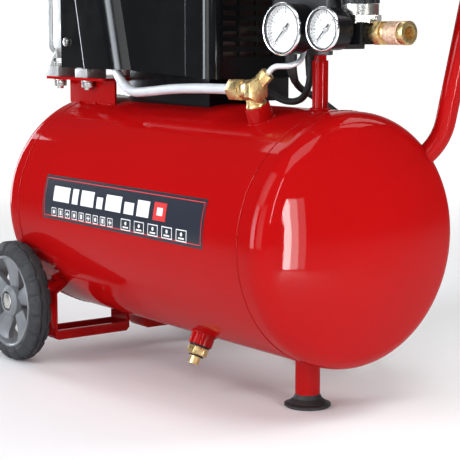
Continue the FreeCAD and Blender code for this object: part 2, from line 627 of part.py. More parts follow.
def cooling_fan():
    x0 = 12.0
    hub = rod((x0, 0, SHAFT_Z), (1, 0, 0), 14, 24)
    disc = rod((x0, 0, SHAFT_Z), (1, 0, 0), 30, 3)
    blade = box(x0, x0 + 20, -1.5, 1.5, SHAFT_Z + 10, SHAFT_Z + 47)
    blade.rotate(V(x0 + 10, 0, SHAFT_Z), V(0, 0, 1), 25)
    blade = blade.common(rod((x0, 0, SHAFT_Z), (1, 0, 0), 46, 22))
    blades = []
    for i in range(7):
        one = blade.copy()
        one.rotate(V(0, 0, SHAFT_Z), V(1, 0, 0), 360 / 7 * i)
        blades.append(one)
    return joined(hub, disc, *blades).cut(rod((x0 - 1, 0, SHAFT_Z), (1, 0, 0), SHAFT_R + RUN_GAP, 30))


def motor_cradle():
    """A black stand between the tank and the motor's can."""
    block = box(-118, 34, -30, 30, 115, 166)
    block = block.cut(box(-114, 30, -26, 26, 110, 148))
    block = block.cut(rod((-200, 0, SHAFT_Z), (1, 0, 0), MOTOR_R + RUN_GAP, 300))
    return block.cut(tank_solid())


def terminal_box():
    return rounded_box(34.05, 72, 8, 46, 127.5, 158, 3, (0, 0, 1))


# ---------------------------------------------------------------- cover

def cover_volume(inset):
    """The space inside the cover's outer skin, drawn in by inset all round."""
    i = inset
    side = [
        (COVER_X0 + i, 120), (COVER_X0 + i, HOOD_STEP_Z - 6 + i), (COVER_HOOD_X0 + i, HOOD_STEP_Z + i),
        (COVER_HOOD_X0 + i, COVER_TOP_Z - 14), (COVER_HOOD_X0 + 14, COVER_TOP_Z - i),
        (-112 - i, COVER_TOP_Z - i), (-64 - i, COVER_MOTOR_TOP_Z + 4 - i), (50, COVER_MOTOR_TOP_Z - 8 - i),
        (COVER_X1 - i, COVER_MOTOR_TOP_Z - 32), (COVER_X1 - i, 120),
    ]
    body = prism([(x, -90, z) for x, z in side], (0, 180, 0))
    wide = COVER_HALF - i
    panel = COVER_PANEL_HALF - i
    p0, p1 = COVER_PANEL_X0, COVER_PANEL_X1 + i
    right = COVER_X1 - i
    front = [(COVER_HOOD_X0, -wide), (p0, -wide), (p0, -panel), (p1, -panel), (p1, -wide),
             (right - 12, -wide), (right - 3.5, -wide + 3.5), (right, -wide + 12)]
    plan = [(x, y, 100) for x, y in front] + [(x, -y, 100) for x, y in reversed(front)]
    body = body.common(prism(plan, (0, 0, 260)))
    end = [(-80, 100), (80, 100), (80, COVER_TOP_Z - 30), (COVER_HALF - i, COVER_TOP_Z - 30),
           (COVER_HALF - 8 - i, COVER_TOP_Z - 8 - i), (COVER_HALF - 26, COVER_TOP_Z - i)]
    end += [(-y, z) for y, z in reversed(end)][0:4]
    body = body.common(prism([(-260, y, z) for y, z in end], (360, 0, 0)))
    swell = COVER_SWELL_HALF - i
    low = [(-163 + i, -50), (-163 + i, -56), (-146 + i, -swell + 3), (-122, -swell), (-82 - i, -swell),
           (-70 - i, -56), (-70 - i, -50)]
    wires = []
    for z in (SWELL_Z0, SWELL_Z1):
        points = [V(x - SWELL_LEAN * (z - SWELL_Z0), y, z) for x, y in low]
        wires.append(Part.makePolygon(points + points[:1]))
    wing = Part.makeLoft(wires, True, True)
    wing = wing.common(box(-240, 0, -80, 80, 100, SWELL_TOP_Z - i))
    return joined(body, wing, mirrored(wing))


def cover_screw_places():
    return [(-204.0, 186.0), (-204.0, 240.0)]


def motor_cover():
    """The black moulded cover: open below and at the crankcase, with vents in the motor end."""
    shell = cover_volume(0).cut(cover_volume(COVER_WALL))
    under = [(-300, 100), (100, 100), (100, COVER_END_BOTTOM_Z), (COVER_X1, COVER_END_BOTTOM_Z),
             (-85, COVER_BOTTOM_Z), (-300, COVER_BOTTOM_Z)]
    shell = shell.cut(prism([(x, -90, z) for x, z in under], (0, 180, 0)))
    shell = shell.cut(box(COVER_HOOD_X0 - 5, COVER_X0 + 5, -COVER_HALF + COVER_WALL, COVER_HALF - COVER_WALL,
                          140, HOOD_STEP_Z + 3))
    columns = [-VENT_REACH] + [p for post in VENT_POSTS for p in (post - VENT_POST / 2, post + VENT_POST / 2)]
    columns.append(VENT_REACH)
    slots = []
    for row in range(VENT_ROWS - 1):
        z = VENT_Z + VENT_PITCH * row
        for y0, y1 in zip(columns[::2], columns[1::2]):
            slots.append(box(COVER_X1 - 6, COVER_X1 + 2, y0, y1, z - VENT_HEIGHT / 2, z + VENT_HEIGHT / 2))
    shell = shell.cut(Part.makeCompound(slots))
    shell = shell.cut(rod((CYL_X, 50, DECK_Z + 8), (0, 1, 0), 10, 30))
    for x, z in cover_screw_places():
        shell = shell.cut(rod((x, -80, z), (0, 1, 0), 2.6, 160))
    return shell


def cover_screws():
    solids = []
    for x, z in cover_screw_places():
        head = rod((x, COVER_HALF + 0.05, z), (0, 1, 0), 5, 3)
        shank = rod((x, COVER_HALF - 8.5, z), (0, 1, 0), 2.4, 9)
        screw = head.fuse(shank).removeSplitter()
        solids += [screw, mirrored(screw)]
    return Part.makeCompound(solids)


# ---------------------------------------------------------------- control head

def on_head(shape):
    """Turns a shape drawn about the riser pipe's axis and stands it on the riser."""
    moved = shape.copy()
    moved.rotate(V(0, 0, 0), V(0, 0, 1), HEAD_TURN)
    moved.translate(V(RISER_X, 0, 0))
    return moved


def riser_pipe():
    pipe = rod((RISER_X, 0, 110), (0, 0, 1), RISER_R, NECK_Z - 110)
    neck = rod((RISER_X, 0, NECK_Z), (0, 0, 1), NECK_R, 9)
    return pipe.fuse(neck).cut(tank_solid()).cut(rod((RISER_X, 0, 100), (0, 0, 1), RISER_BORE_R, 81))


def switch_base():
    """The cast manifold under the pressure switch, with the nut on the riser."""
    block = rounded_box(-46, 36, -22, 26, BASE_Z0, BASE_Z1, 4, (0, 0, 1))
    nut = hexagon((0, 0, 176), (0, 0, 1), 22, 7)
    block = joined(block, nut).cut(rod((0, 0, 170), (0, 0, 1), NECK_R + THREAD_GAP, 12))
    block = block.cut(rod((0, 0, 170), (0, 0, 1), RISER_BORE_R, 26))
    return on_head(block)


def switch_cover():
    shell = rounded_box(-48, 38, -24, 30, BASE_Z1 + 0.05, SWITCH_TOP_Z, 9, (0, 0, 1))
    top = [e for e in shell.Edges if abs(e.CenterOfMass.z - SWITCH_TOP_Z) < 0.01]
    shell = shell.makeFillet(5, top)
    inner = rounded_box(-45.5, 35.5, -21.5, 27.5, BASE_Z1 - 1, SWITCH_TOP_Z - 2.5, 7, (0, 0, 1))
    shell = shell.cut(inner)
    return on_head(shell.cut(rod((0, 3, SWITCH_TOP_Z - 10), (0, 0, 1), 5.6, 20)))


def switch_knob():
    """The on/off knob, pushed down, on its stem through the cover."""
    top = SWITCH_TOP_Z
    profile = [(0, top - 30), (5, top - 30), (5, top + 0.5), (13, top + 0.5), (14, top + 3), (14, top + 15),
               (12, top + 18), (0, top + 18)]
    return on_head(turned(profile, (0, 3, 0), (0, 0, 1)))


def cord_glands():
    solids = []
    for x, y in (MAINS_GLAND, MOTOR_GLAND):
        body = hexagon((x, y, GLAND_BOTTOM), (0, 0, 1), 12.5, GLAND_TOP - GLAND_BOTTOM)
        solids.append(on_head(body))
    return Part.makeCompound(solids)


def gauge_case(spec):
    """A deep can with a bezel, the dial's face inside and the stem at the back."""
    radius = spec["radius"]
    depth = spec["back"] - spec["face"]
    dial = depth - 7.5
    profile = [(0, 0), (radius - 2.5, 0), (radius - 1, 1.5), (radius - 1, depth - 5),
               (radius, depth - 4.5), (radius, depth - 1.0), (radius - 1, depth),
               (radius - 2.6, depth), (radius - 2.6, dial), (0, dial)]
    can = turned(profile, (spec["x"], spec["back"], GAUGE_Z), (0, -1, 0))
    stem = rod((spec["x"], spec["wall_y"], GAUGE_Z), (0, -1, 0), 4.9, spec["wall_y"] - spec["back"])
    return on_head(can.fuse(stem).removeSplitter())


def gauge_needle(spec):
    """A pointer with a short tail, at rest on the lowest mark."""
    radius = spec["radius"]
    level = spec["face"] + 5.6
    hub = rod((spec["x"], level, GAUGE_Z), (0, -1, 0), 2.2, 1.4)
    blade = prism([(-0.9, 0, -radius * 0.30), (0.9, 0, -radius * 0.30), (0.35, 0, radius * 0.68),
                   (-0.35, 0, radius * 0.68)], (0, -0.6, 0))
    blade.rotate(V(0, 0, 0), V(0, 1, 0), -135)
    blade.translate(V(spec["x"], level - 0.4, GAUGE_Z))
    return on_head(hub.fuse(blade).removeSplitter())


def gauge_glasses():
    panes = []
    for spec in (BIG_GAUGE, SMALL_GAUGE):
        radius = spec["radius"] - 2.7
        panes.append(on_head(rod((spec["x"], spec["face"] + 2.6, GAUGE_Z), (0, -1, 0), radius, 1.4)))
    return Part.makeCompound(panes)


def regulator_body():
    """The square body beside the switch, its collar nut and bonnet, and the nipple to the manifold."""
    block = rounded_box(40, 78.6, -29.1, 5.1, 187, 207, 1.5, (0, 0, 1))
    collar = hexagon((REGULATOR_X, REGULATOR_Y, 206), (0, 0, 1), 36, 8)
    bonnet = rod((REGULATOR_X, REGULATOR_Y, 213), (0, 0, 1), 17.5, 11)
    nipple = rod((36.05, -6, 196), (1, 0, 0), 7, 5)
    body = joined(block, collar, bonnet, nipple)
    return on_head(body.cut(rod((REGULATOR_X, REGULATOR_Y, 212), (0, 0, 1), 5.55, 20)))


def regulator_knob():
    """A fluted knob on its spindle."""
    z = 224.5
    knob = rod((REGULATOR_X, REGULATOR_Y, z), (0, 0, 1), 18, 30)
    flutes = []
    for i in range(12):
        a = math.radians(30 * i)
        place = (REGULATOR_X + 19.2 * math.cos(a), REGULATOR_Y + 19.2 * math.sin(a), z - 1)
        flutes.append(rod(place, (0, 0, 1), 2.6, 26))
    knob = knob.cut(Part.makeCompound(flutes))
    spindle = rod((REGULATOR_X, REGULATOR_Y, 213), (0, 0, 1), 5.5, 14)
    return on_head(knob.fuse(spindle).removeSplitter())


def coupler_body():
    """The quick coupler's fixed part: nipple, hex, and the tube that takes the hose plug."""
    y, z = COUPLER_Y, COUPLER_Z
    x0 = COUPLER_X0
    nipple = rod((x0 + 0.05, y, z), (1, 0, 0), 8, 7)
    hexa = hexagon((x0 + 6.5, y, z), (1, 0, 0), 21.5, 8, 30)
    neck = rod((x0 + 14, y, z), (1, 0, 0), 8.6, COUPLER_X1 - x0 - 14 - 6)
    front = rod((COUPLER_X1 - 7, y, z), (1, 0, 0), 11, 7)
    body = joined(nipple, hexa, neck, front)
    body = body.cut(rod((x0 + 20, y, z), (1, 0, 0), COUPLER_BORE_R, 40))
    return on_head(body.cut(rod((x0 - 1, y, z), (1, 0, 0), 3.5, 40)))


def coupler_sleeve():
    """The sprung release sleeve, forward against the front ring's groove."""
    y, z = COUPLER_Y, COUPLER_Z
    profile = [(8.65, 0), (9.8, 0), (10.9, 1.5), (10.9, 15.5), (10.2, 16.5), (8.65, 16.5)]
    return on_head(turned(profile, (SLEEVE_X0, y, z), (1, 0, 0)))


def safety_valve():
    y0 = 26.05
    body = rod((-12, y0, 196), (0, 1, 0), 6, 4)
    hexa = hexagon((-12, y0 + 4, 196), (0, 1, 0), 14, 7)
    top = rod((-12, y0 + 10, 196), (0, 1, 0), 5.5, 12)
    valve = joined(body, hexa, top)
    return on_head(valve.cut(rod((-12, y0 + 8, 196), (0, 1, 0), 2.05, 20)))


def safety_pull():
    """The pull ring on the safety valve's pin."""
    y0 = 26.05
    pin = rod((-12, y0 + 9, 196), (0, 1, 0), 2.0, 18)
    hoop = Part.makeTorus(8.5, 1.1, V(-12, y0 + 34.5, 196), V(1, 0, 0))
    return on_head(pin.fuse(hoop).removeSplitter())


def check_valve():
    """The brass non-return valve on its boss, with the unions for both pipes."""
    stem_way = radial(VALVE_TILT)
    stem = turned([(0, 0), (10.4, 0), (10.4, 1.6), (9.2, 3.0), (7.6, 10.5), (7.6, 18), (0, 18)],
                  out_at(VALVE_X, VALVE_TILT, VALVE_BOSS_TOP + 0.05), stem_way)
    thread = rod(out_at(VALVE_X, VALVE_TILT, 118), stem_way, VALVE_THREAD_R, 22)
    y, z = VALVE_Y, VALVE_Z
    nut = hexagon((NUT_X0, y, z), (1, 0, 0), 19.5, NUT_X1 - NUT_X0, 30)
    neck = rod((NUT_X1 - 0.5, y, z), (1, 0, 0), 9.2, 14)
    body = rod((VALVE_X - 4, y, z), (1, 0, 0), 10.4, 12)
    cap = hexagon((VALVE_END_X - 8, y, z), (1, 0, 0), 21.5, 8)
    union = hexagon(tuple(UNION_START), tuple(UNION_WAY), 12.5, UNION_LENGTH)
    return joined(stem, thread, nut, neck, body, cap, union)


def drain_body():
    way = radial(DRAIN_TILT)
    thread = rod(out_at(DRAIN_X, DRAIN_TILT, 120), way, DRAIN_THREAD_R, 18)
    seal = rod(out_at(DRAIN_X, DRAIN_TILT, DRAIN_BOSS_END + 0.05), way, 9.2, 2)
    hexa = hexagon(out_at(DRAIN_X, DRAIN_TILT, DRAIN_BOSS_END + 2), way, 19, 8)
    body = joined(thread, seal, hexa)
    return body.cut(rod(out_at(DRAIN_X, DRAIN_TILT, 128), way, 3.55, 30))


def drain_screw():
    way = radial(DRAIN_TILT)
    start = DRAIN_BOSS_END + 10.4
    shank = rod(out_at(DRAIN_X, DRAIN_TILT, start - 9), way, 3.5, 10)
    collar = rod(out_at(DRAIN_X, DRAIN_TILT, start), way, 7.0, 2)
    head = rod(out_at(DRAIN_X, DRAIN_TILT, start + 2), way, 5.7, 8)
    flat = box(DRAIN_X - 9, DRAIN_X - 4.2, -120, 0, -200, -60)
    screw = joined(shank, collar, head.cut(flat))
    return screw.cut(rod(out_at(DRAIN_X, DRAIN_TILT, start + 5), way, 1.5, 10))


# ---------------------------------------------------------------- leads

def mains_cord():
    """The free lead from its gland over the tank to the coil, and its short tail into the plug."""
    lead = tube_along(MAINS_ROUTE, LEAD_R, "mains_cord")
    tail = tube_along(TAIL_ROUTE, LEAD_R, "mains_tail")
    return Part.makeCompound([lead, tail])


def mains_coil():
    height = COIL_HEIGHT
    profile = [(COIL_IN, 2), (COIL_IN + 2, 0), (COIL_OUT - 2, 0), (COIL_OUT, 2), (COIL_OUT, height - 6),
               (COIL_OUT - 4, height), (COIL_IN + 2, height), (COIL_IN, height - 2)]
    return turned(profile, (COIL_X, COIL_Y, FLOOR_Z), (0, 0, 1))


def mains_plug():
    """A two-pin earthed plug lying on its side."""
    profile = [(0, 0), (5.5, 0), (8.5, 12), (15, 20), (18.8, 24), (18.8, 36), (17.5, 38), (0, 38)]
    body = turned(profile, (PLUG_X0, TAIL_Y, PLUG_Z), (1, 0, 0))
    pins = [rod((PLUG_X0 + 37, TAIL_Y + dy, PLUG_Z), (1, 0, 0), 2.4, 20) for dy in (-9.5, 9.5)]
    return joined(body, *pins)


NODES = {
    "tank_barrel": tank_barrel,
    "tank_end_front": tank_end,
    "tank_end_rear": lambda: tank_end().mirror(V(0, 0, 0), V(1, 0, 0)),
    "foot_post": foot_post,
    "rubber_foot": rubber_foot,
    "wheel_bracket_left": lambda: mirrored(wheel_bracket(LEFT_INNER_Y)),
    "wheel_bracket_right": lambda: wheel_bracket(RIGHT_INNER_Y),
    "axle_fasteners": axle_fasteners,
    "wheel_rim_left": lambda: mirrored(wheel_rim()),
    "wheel_rim_right": wheel_rim,
    "tyre_left": lambda: mirrored(tyre()),
    "tyre_right": tyre,
    "handle_tube": handle_tube,
    "handle_grip": handle_grip,
    "pump_bracket": pump_bracket,
    "mount_bolts": mount_bolts,
    "crankcase": crankcase,
    "crankcase_gasket": crankcase_gasket,
    "crankcase_cover": crankcase_cover,
    "cylinder": cylinder,
    "cylinder_head": cylinder_head,
    "head_bolts": head_bolts,
    "piston": piston,
    "connecting_rod": connecting_rod,
    "crank_disc": crank_disc,
    "air_filter": air_filter,
    "motor_housing": motor_housing,
    "stator": stator,
    "rotor": rotor,
    "motor_bearings": motor_bearings,
    "cooling_fan": cooling_fan,
    "motor_cradle": motor_cradle,
    "terminal_box": terminal_box,
    "motor_cover": motor_cover,
    "cover_screws": cover_screws,
    "riser_pipe": riser_pipe,
    "switch_base": switch_base,
    "switch_cover": switch_cover,
    "switch_knob": switch_knob,
    "cord_glands": cord_glands,
    "tank_gauge": lambda: gauge_case(BIG_GAUGE),
    "outlet_gauge": lambda: gauge_case(SMALL_GAUGE),
    "tank_needle": lambda: gauge_needle(BIG_GAUGE),
    "outlet_needle": lambda: gauge_needle(SMALL_GAUGE),
    "gauge_glasses": gauge_glasses,
    "regulator_body": regulator_body,
    "regulator_knob": regulator_knob,
    "coupler_body": coupler_body,
    "coupler_sleeve": coupler_sleeve,
    "safety_valve": safety_valve,
    "safety_pull": safety_pull,
    "check_valve": check_valve,
    "unloader_pipe": lambda: tube_along(UNLOADER_ROUTE, UNLOADER_R, "unloader_pipe"),
    "discharge_pipe": lambda: tube_along(DISCHARGE_ROUTE, DISCHARGE_R, "discharge_pipe"),
    "drain_body": drain_body,
    "drain_screw": drain_screw,
    "motor_lead": lambda: tube_along(MOTOR_LEAD_ROUTE, LEAD_R, "motor_lead"),
    "mains_cord": mains_cord,
    "mains_coil": mains_coil,
    "mains_plug": mains_plug,
}


def write():
    os.makedirs("parts", exist_ok=True)
    overall = FreeCAD.BoundBox()
    for name, make in NODES.items():
        shape = make()
        shape.translate(V(-ORIGIN_X, 0, -FLOOR_Z))
        shape.exportStep(f"parts/{name}.step")
        valid = "" if shape.isValid() else "  NOT VALID"
        if not name.startswith("mains"):
            overall.add(shape.BoundBox)
        print(f"{name}: {len(shape.Solids)} solid(s), {shape.Volume / 1000:.2f} cm3{valid}")
    print("without the mains lead:", overall)


write()
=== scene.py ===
"""The looks of the air compressor: materials, moulded and printed detail, cords, lights and camera.

Places are given in millimetres from the tank's centre, with +X towards the foot and handle, -Y the
side with the gauges, and +Z up. at() turns them into the frame's metres."""

import bmesh
import bpy
import math
import random
from collections import Counter
from mathutils import Matrix, Vector


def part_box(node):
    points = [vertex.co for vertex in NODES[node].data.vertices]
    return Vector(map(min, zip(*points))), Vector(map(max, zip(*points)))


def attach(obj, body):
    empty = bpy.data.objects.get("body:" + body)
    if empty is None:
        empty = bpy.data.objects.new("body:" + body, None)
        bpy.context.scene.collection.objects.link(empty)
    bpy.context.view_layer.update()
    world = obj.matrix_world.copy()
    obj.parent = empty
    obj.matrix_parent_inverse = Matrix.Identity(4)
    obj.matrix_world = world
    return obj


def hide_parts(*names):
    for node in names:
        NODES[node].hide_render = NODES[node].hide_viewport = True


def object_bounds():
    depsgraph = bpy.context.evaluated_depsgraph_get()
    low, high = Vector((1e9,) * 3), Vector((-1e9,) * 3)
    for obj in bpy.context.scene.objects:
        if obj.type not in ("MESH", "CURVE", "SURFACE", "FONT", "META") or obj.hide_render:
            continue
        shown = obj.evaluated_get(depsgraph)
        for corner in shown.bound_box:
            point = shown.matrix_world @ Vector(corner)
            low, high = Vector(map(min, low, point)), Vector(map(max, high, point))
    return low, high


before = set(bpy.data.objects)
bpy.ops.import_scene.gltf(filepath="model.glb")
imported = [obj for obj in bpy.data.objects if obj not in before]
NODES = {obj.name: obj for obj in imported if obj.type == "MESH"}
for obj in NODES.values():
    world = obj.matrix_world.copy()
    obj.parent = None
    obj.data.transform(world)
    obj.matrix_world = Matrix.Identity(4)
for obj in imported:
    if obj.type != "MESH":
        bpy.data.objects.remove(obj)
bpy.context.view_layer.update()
MM = 0.001

BARREL_LOW, BARREL_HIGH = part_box("tank_barrel")
END_LOW, END_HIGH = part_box("tank_end_front")
TANK_CENTRE = Vector(((BARREL_LOW.x + BARREL_HIGH.x) / 2, 0.0, (END_LOW.z + END_HIGH.z) / 2))
TANK_R = (END_HIGH.z - END_LOW.z) / 2 / MM
BARREL_HALF = (BARREL_HIGH.x - BARREL_LOW.x) / 2 / MM
FLOOR_Z = -TANK_CENTRE.z / MM
RISER_X = 177.0
HEAD_TURN = math.radians(6.5)


def at(x, y, z):
    """A place in metres from millimetres from the tank's centre."""
    return TANK_CENTRE + Vector((x, y, z)) * MM


def on_head(x, y, z):
    """A point of the control head, which is turned a little about the riser pipe."""
    c, s = math.cos(HEAD_TURN), math.sin(HEAD_TURN)
    return at(RISER_X + x * c - y * s, x * s + y * c, z)


# ---------------------------------------------------------------- camera and lights

EYE = (1298.36, -930.21, 202.72)
LOOK = Vector((-0.79924, 0.58583, -0.13423))
BEHIND = Vector((LOOK.x, LOOK.y, 0.0)).normalized()
LENS, SENSOR = 117.16, 36.0


def make_camera():
    """A long lens a little above the tank, from the foot's end and the gauges' side."""
    data = bpy.data.cameras.new("camera")
    data.lens = LENS
    data.sensor_width = SENSOR
    data.clip_end = 50.0
    camera = bpy.data.objects.new("camera", data)
    bpy.context.scene.collection.objects.link(camera)
    camera.location = at(*EYE)
    camera.rotation_mode = "QUATERNION"
    camera.rotation_quaternion = LOOK.to_track_quat("-Z", "Y")
    bpy.context.scene.camera = camera


def make_world():
    """White straight behind the object and dim all round, like a lit backdrop in a dark studio."""
    world = bpy.data.worlds.new("studio")
    bpy.context.scene.world = world
    world.use_nodes = True
    tree = world.node_tree
    place = tree.nodes.new("ShaderNodeTexCoord")
    dot = tree.nodes.new("ShaderNodeVectorMath")
    dot.operation = "DOT_PRODUCT"
    dot.inputs[1].default_value = BEHIND
    ramp = tree.nodes.new("ShaderNodeMapRange")
    for socket, value in (("From Min", 0.78), ("From Max", 0.97), ("To Min", 0.10), ("To Max", 1.05)):
        ramp.inputs[socket].default_value = value
    tree.links.new(place.outputs["Generated"], dot.inputs[0])
    tree.links.new(dot.outputs["Value"], ramp.inputs["Value"])
    background = tree.nodes["Background"]
    tree.links.new(ramp.outputs["Result"], background.inputs["Color"])
    background.inputs["Strength"].default_value = 1.0
    bpy.context.scene.view_settings.view_transform = "Standard"


WHITE, COOL = (1.0, 1.0, 1.0), (0.86, 0.92, 1.0)


def panel(name, azimuth, elevation, distance, target, size, watts, spread=180.0, colour=WHITE):
    """A soft light so far from its target, in metres, along a direction in degrees."""
    a, e = math.radians(azimuth), math.radians(elevation)
    way = Vector((math.cos(e) * math.cos(a), math.cos(e) * math.sin(a), math.sin(e)))
    data = bpy.data.lights.new(name, "AREA")
    data.shape = "RECTANGLE"
    data.size, data.size_y = size
    data.energy = watts
    data.spread = math.radians(spread)
    data.color = colour
    light = bpy.data.objects.new(name, data)
    bpy.context.scene.collection.objects.link(light)
    light.location = target + way * distance
    light.rotation_mode = "QUATERNION"
    light.rotation_quaternion = (-way).to_track_quat("-Z", "Y")


def make_lights():
    """Narrow strips that show in the domed tank end, low soft ones at the side, and keys from above."""
    middle = at(40, 0, 20)
    dome = at(237, -85, 20)
    for name, azimuth, watts in (("dome_bright", 2.2, 1.9), ("dome_soft", 5.6, 0.62),
                                 ("dome_softer", 9.0, 0.16)):
        panel(name, azimuth, -2.5, 0.62, dome, (0.036, 0.32), watts)
    panel("seam_strip", -38, 26, 1.9, dome, (0.10, 1.1), 9.0, colour=COOL)
    panel("corner_strip", -103, 5, 2.1, middle, (0.70, 1.5), 7.0, spread=70, colour=COOL)
    panel("corner_soft", -72, 5, 2.1, middle, (0.85, 1.5), 1.8, spread=70)
    panel("left_strip", -174, 8, 2.0, middle, (0.50, 1.3), 3.6, spread=70, colour=COOL)
    panel("side_key", -95, 38, 1.7, middle, (1.0, 0.8), 1.2, spread=60)
    panel("end_key", -18, 55, 1.7, middle, (0.9, 0.7), 10.0)
    panel("far_key", 62, 50, 1.8, middle, (1.0, 0.8), 12.0)
    panel("back_fill", 170, 55, 1.9, middle, (1.0, 0.8), 7.0)


# ---------------------------------------------------------------- materials

class Paint:
    """A Principled material and short calls that add its procedural detail."""

    def __init__(self, name, colour, roughness, metallic=0.0, coat=0.0, coat_roughness=0.05):
        self.made = bpy.data.materials.new(name)
        self.made.use_nodes = True
        self.tree = self.made.node_tree
        self.shader = self.tree.nodes["Principled BSDF"]
        self.colour = (*colour, 1.0)
        self.set("Base Color", self.colour)
        self.set("Roughness", roughness)
        self.set("Metallic", metallic)
        self.set("Coat Weight", coat)
        self.set("Coat Roughness", coat_roughness)
        self.roughness = roughness
        self.place = self.add("ShaderNodeTexCoord").outputs["Object"]

    def add(self, kind):
        return self.tree.nodes.new(kind)

    def set(self, socket, value):
        self.shader.inputs[socket].default_value = value

    def link(self, out, into):
        self.tree.links.new(out, into)

    def noise(self, scale, detail=3.0, stretch=None):
        """Noise with about scale features a metre; stretch squeezes it along the axes."""
        node = self.add("ShaderNodeTexNoise")
        node.inputs["Scale"].default_value = scale
        node.inputs["Detail"].default_value = detail
        source = self.place
        if stretch:
            mapping = self.add("ShaderNodeMapping")
            mapping.inputs["Scale"].default_value = stretch
            self.link(source, mapping.inputs["Vector"])
            source = mapping.outputs["Vector"]
        self.link(source, node.inputs["Vector"])
        return node.outputs["Fac"]

    def vector_math(self, operation, value, other=None):
        """A vector operation on value, with a fixed second vector where one is given."""
        node = self.add("ShaderNodeVectorMath")
        node.operation = operation
        self.link(value, node.inputs[0])
        if other is not None:
            node.inputs[1].default_value = other
        return node

    def ranged(self, value, low, high, start=0.3, end=0.7):
        """Maps start to end onto low to high, and holds the ends beyond them."""
        node = self.add("ShaderNodeMapRange")
        for socket, number in (("From Min", start), ("From Max", end), ("To Min", low), ("To Max", high)):
            node.inputs[socket].default_value = number
        self.link(value, node.inputs["Value"])
        return node.outputs["Result"]

    def tint(self, value, other, amount):
        """Mixes the base colour towards another where value is high."""
        mix = self.add("ShaderNodeMix")
        mix.data_type = "RGBA"
        mix.inputs["A"].default_value = self.colour
        mix.inputs["B"].default_value = (*other, 1.0)
        self.link(self.ranged(value, 0.0, amount), mix.inputs["Factor"])
        self.link(mix.outputs["Result"], self.shader.inputs["Base Color"])

    def vary_roughness(self, value, spread):
        """Moves the roughness with value, up to spread either way."""
        low = max(0.02, self.roughness - spread)
        self.link(self.ranged(value, low, self.roughness + spread), self.shader.inputs["Roughness"])

    def bump(self, value, depth_mm):
        """Surface relief that follows value, so many millimetres deep."""
        node = self.add("ShaderNodeBump")
        node.inputs["Strength"].default_value = 1.0
        node.inputs["Distance"].default_value = depth_mm * MM
        self.link(value, node.inputs["Height"])
        self.link(node.outputs["Normal"], self.shader.inputs["Normal"])


def red_paint():
    paint = Paint("red_paint", (0.36, 0.0032, 0.0036), 0.40, coat=0.42, coat_roughness=0.035)
    paint.set("Specular IOR Level", 0.0)
    paint.set("Coat IOR", 1.38)
    paint.tint(paint.noise(9, 3), (0.33, 0.0028, 0.0032), 0.5)
    paint.bump(paint.noise(170, 1), 0.004)
    return paint.made


def cover_plastic():
    paint = Paint("cover_plastic", (0.0026, 0.0028, 0.0034), 0.16)
    paint.set("Specular IOR Level", 0.36)
    paint.tint(paint.noise(14, 4), (0.0045, 0.0047, 0.0055), 0.6)
    paint.vary_roughness(paint.noise(60), 0.03)
    paint.bump(paint.noise(1500, 2), 0.004)
    return paint.made


def plain_plastic(name, colour, roughness=0.45, grain=1200, depth=0.05):
    paint = Paint(name, colour, roughness)
    paint.tint(paint.noise(25, 4), tuple(c * 0.7 for c in colour), 0.4)
    paint.vary_roughness(paint.noise(80), 0.07)
    paint.bump(paint.noise(grain, 3), depth)
    return paint.made


def black_paint():
    paint = Paint("black_paint", (0.004, 0.004, 0.005), 0.22)
    paint.set("Specular IOR Level", 0.14)
    paint.tint(paint.noise(30, 5), (0.010, 0.010, 0.011), 0.5)
    paint.bump(paint.noise(900, 3), 0.03)
    return paint.made


def rubber(name, colour, roughness):
    paint = Paint(name, colour, roughness)
    paint.tint(paint.noise(45, 5), tuple(c * 2.0 for c in colour), 0.5)
    paint.vary_roughness(paint.noise(120), 0.08)
    paint.bump(paint.noise(1100, 4), 0.08)
    return paint.made


def cast_metal():
    paint = Paint("cast_aluminium", (0.60, 0.60, 0.59), 0.48, metallic=0.85)
    paint.tint(paint.noise(70, 5), (0.40, 0.40, 0.39), 0.7)
    paint.vary_roughness(paint.noise(200), 0.1)
    paint.bump(paint.noise(750, 4), 0.25)
    return paint.made


def drawn_metal(name, colour, roughness, stretch=(1, 1, 1), grain=900):
    paint = Paint(name, colour, roughness, metallic=1.0)
    paint.tint(paint.noise(60, 4), tuple(c * 0.72 for c in colour), 0.5)
    paint.vary_roughness(paint.noise(grain, 3, stretch), 0.08)
    paint.bump(paint.noise(grain, 3, stretch), 0.015)
    return paint.made


def pipe_metal():
    paint = Paint("drawn_aluminium", (0.74, 0.76, 0.79), 0.46, metallic=0.55)
    paint.tint(paint.noise(150, 4, (0.2, 1, 1)), (0.60, 0.62, 0.65), 0.5)
    paint.vary_roughness(paint.noise(500, 3), 0.08)
    paint.bump(paint.noise(600, 3, (0.15, 1, 1)), 0.02)
    return paint.made


def brass():
    paint = Paint("brass", (0.74, 0.55, 0.26), 0.31, metallic=0.92)
    paint.tint(paint.noise(110, 4), (0.60, 0.41, 0.17), 0.6)
    paint.vary_roughness(paint.noise(300, 3), 0.09)
    paint.bump(paint.noise(1400, 3), 0.02)
    return paint.made


def knurled():
    paint = Paint("knurled_brass", (0.86, 0.62, 0.46), 0.46, metallic=0.7)
    paint.tint(paint.noise(420, 4), (0.52, 0.31, 0.19), 0.9)
    paint.bump(paint.noise(1500, 2, (0.5, 1, 1)), 0.5)
    return paint.made


def print_ink(name, colour, roughness=0.38):
    paint = Paint(name, colour, roughness, coat=0.4, coat_roughness=0.12)
    paint.tint(paint.noise(300, 3), tuple(min(1.0, c * 0.86 + 0.002) for c in colour), 0.6)
    return paint.made


def clear_glass():
    paint = Paint("clear_glass", (1.0, 1.0, 1.0), 0.03)
    paint.set("Alpha", 0.05)
    paint.set("IOR", 1.5)
    paint.bump(paint.noise(30, 2), 0.005)
    return paint.made


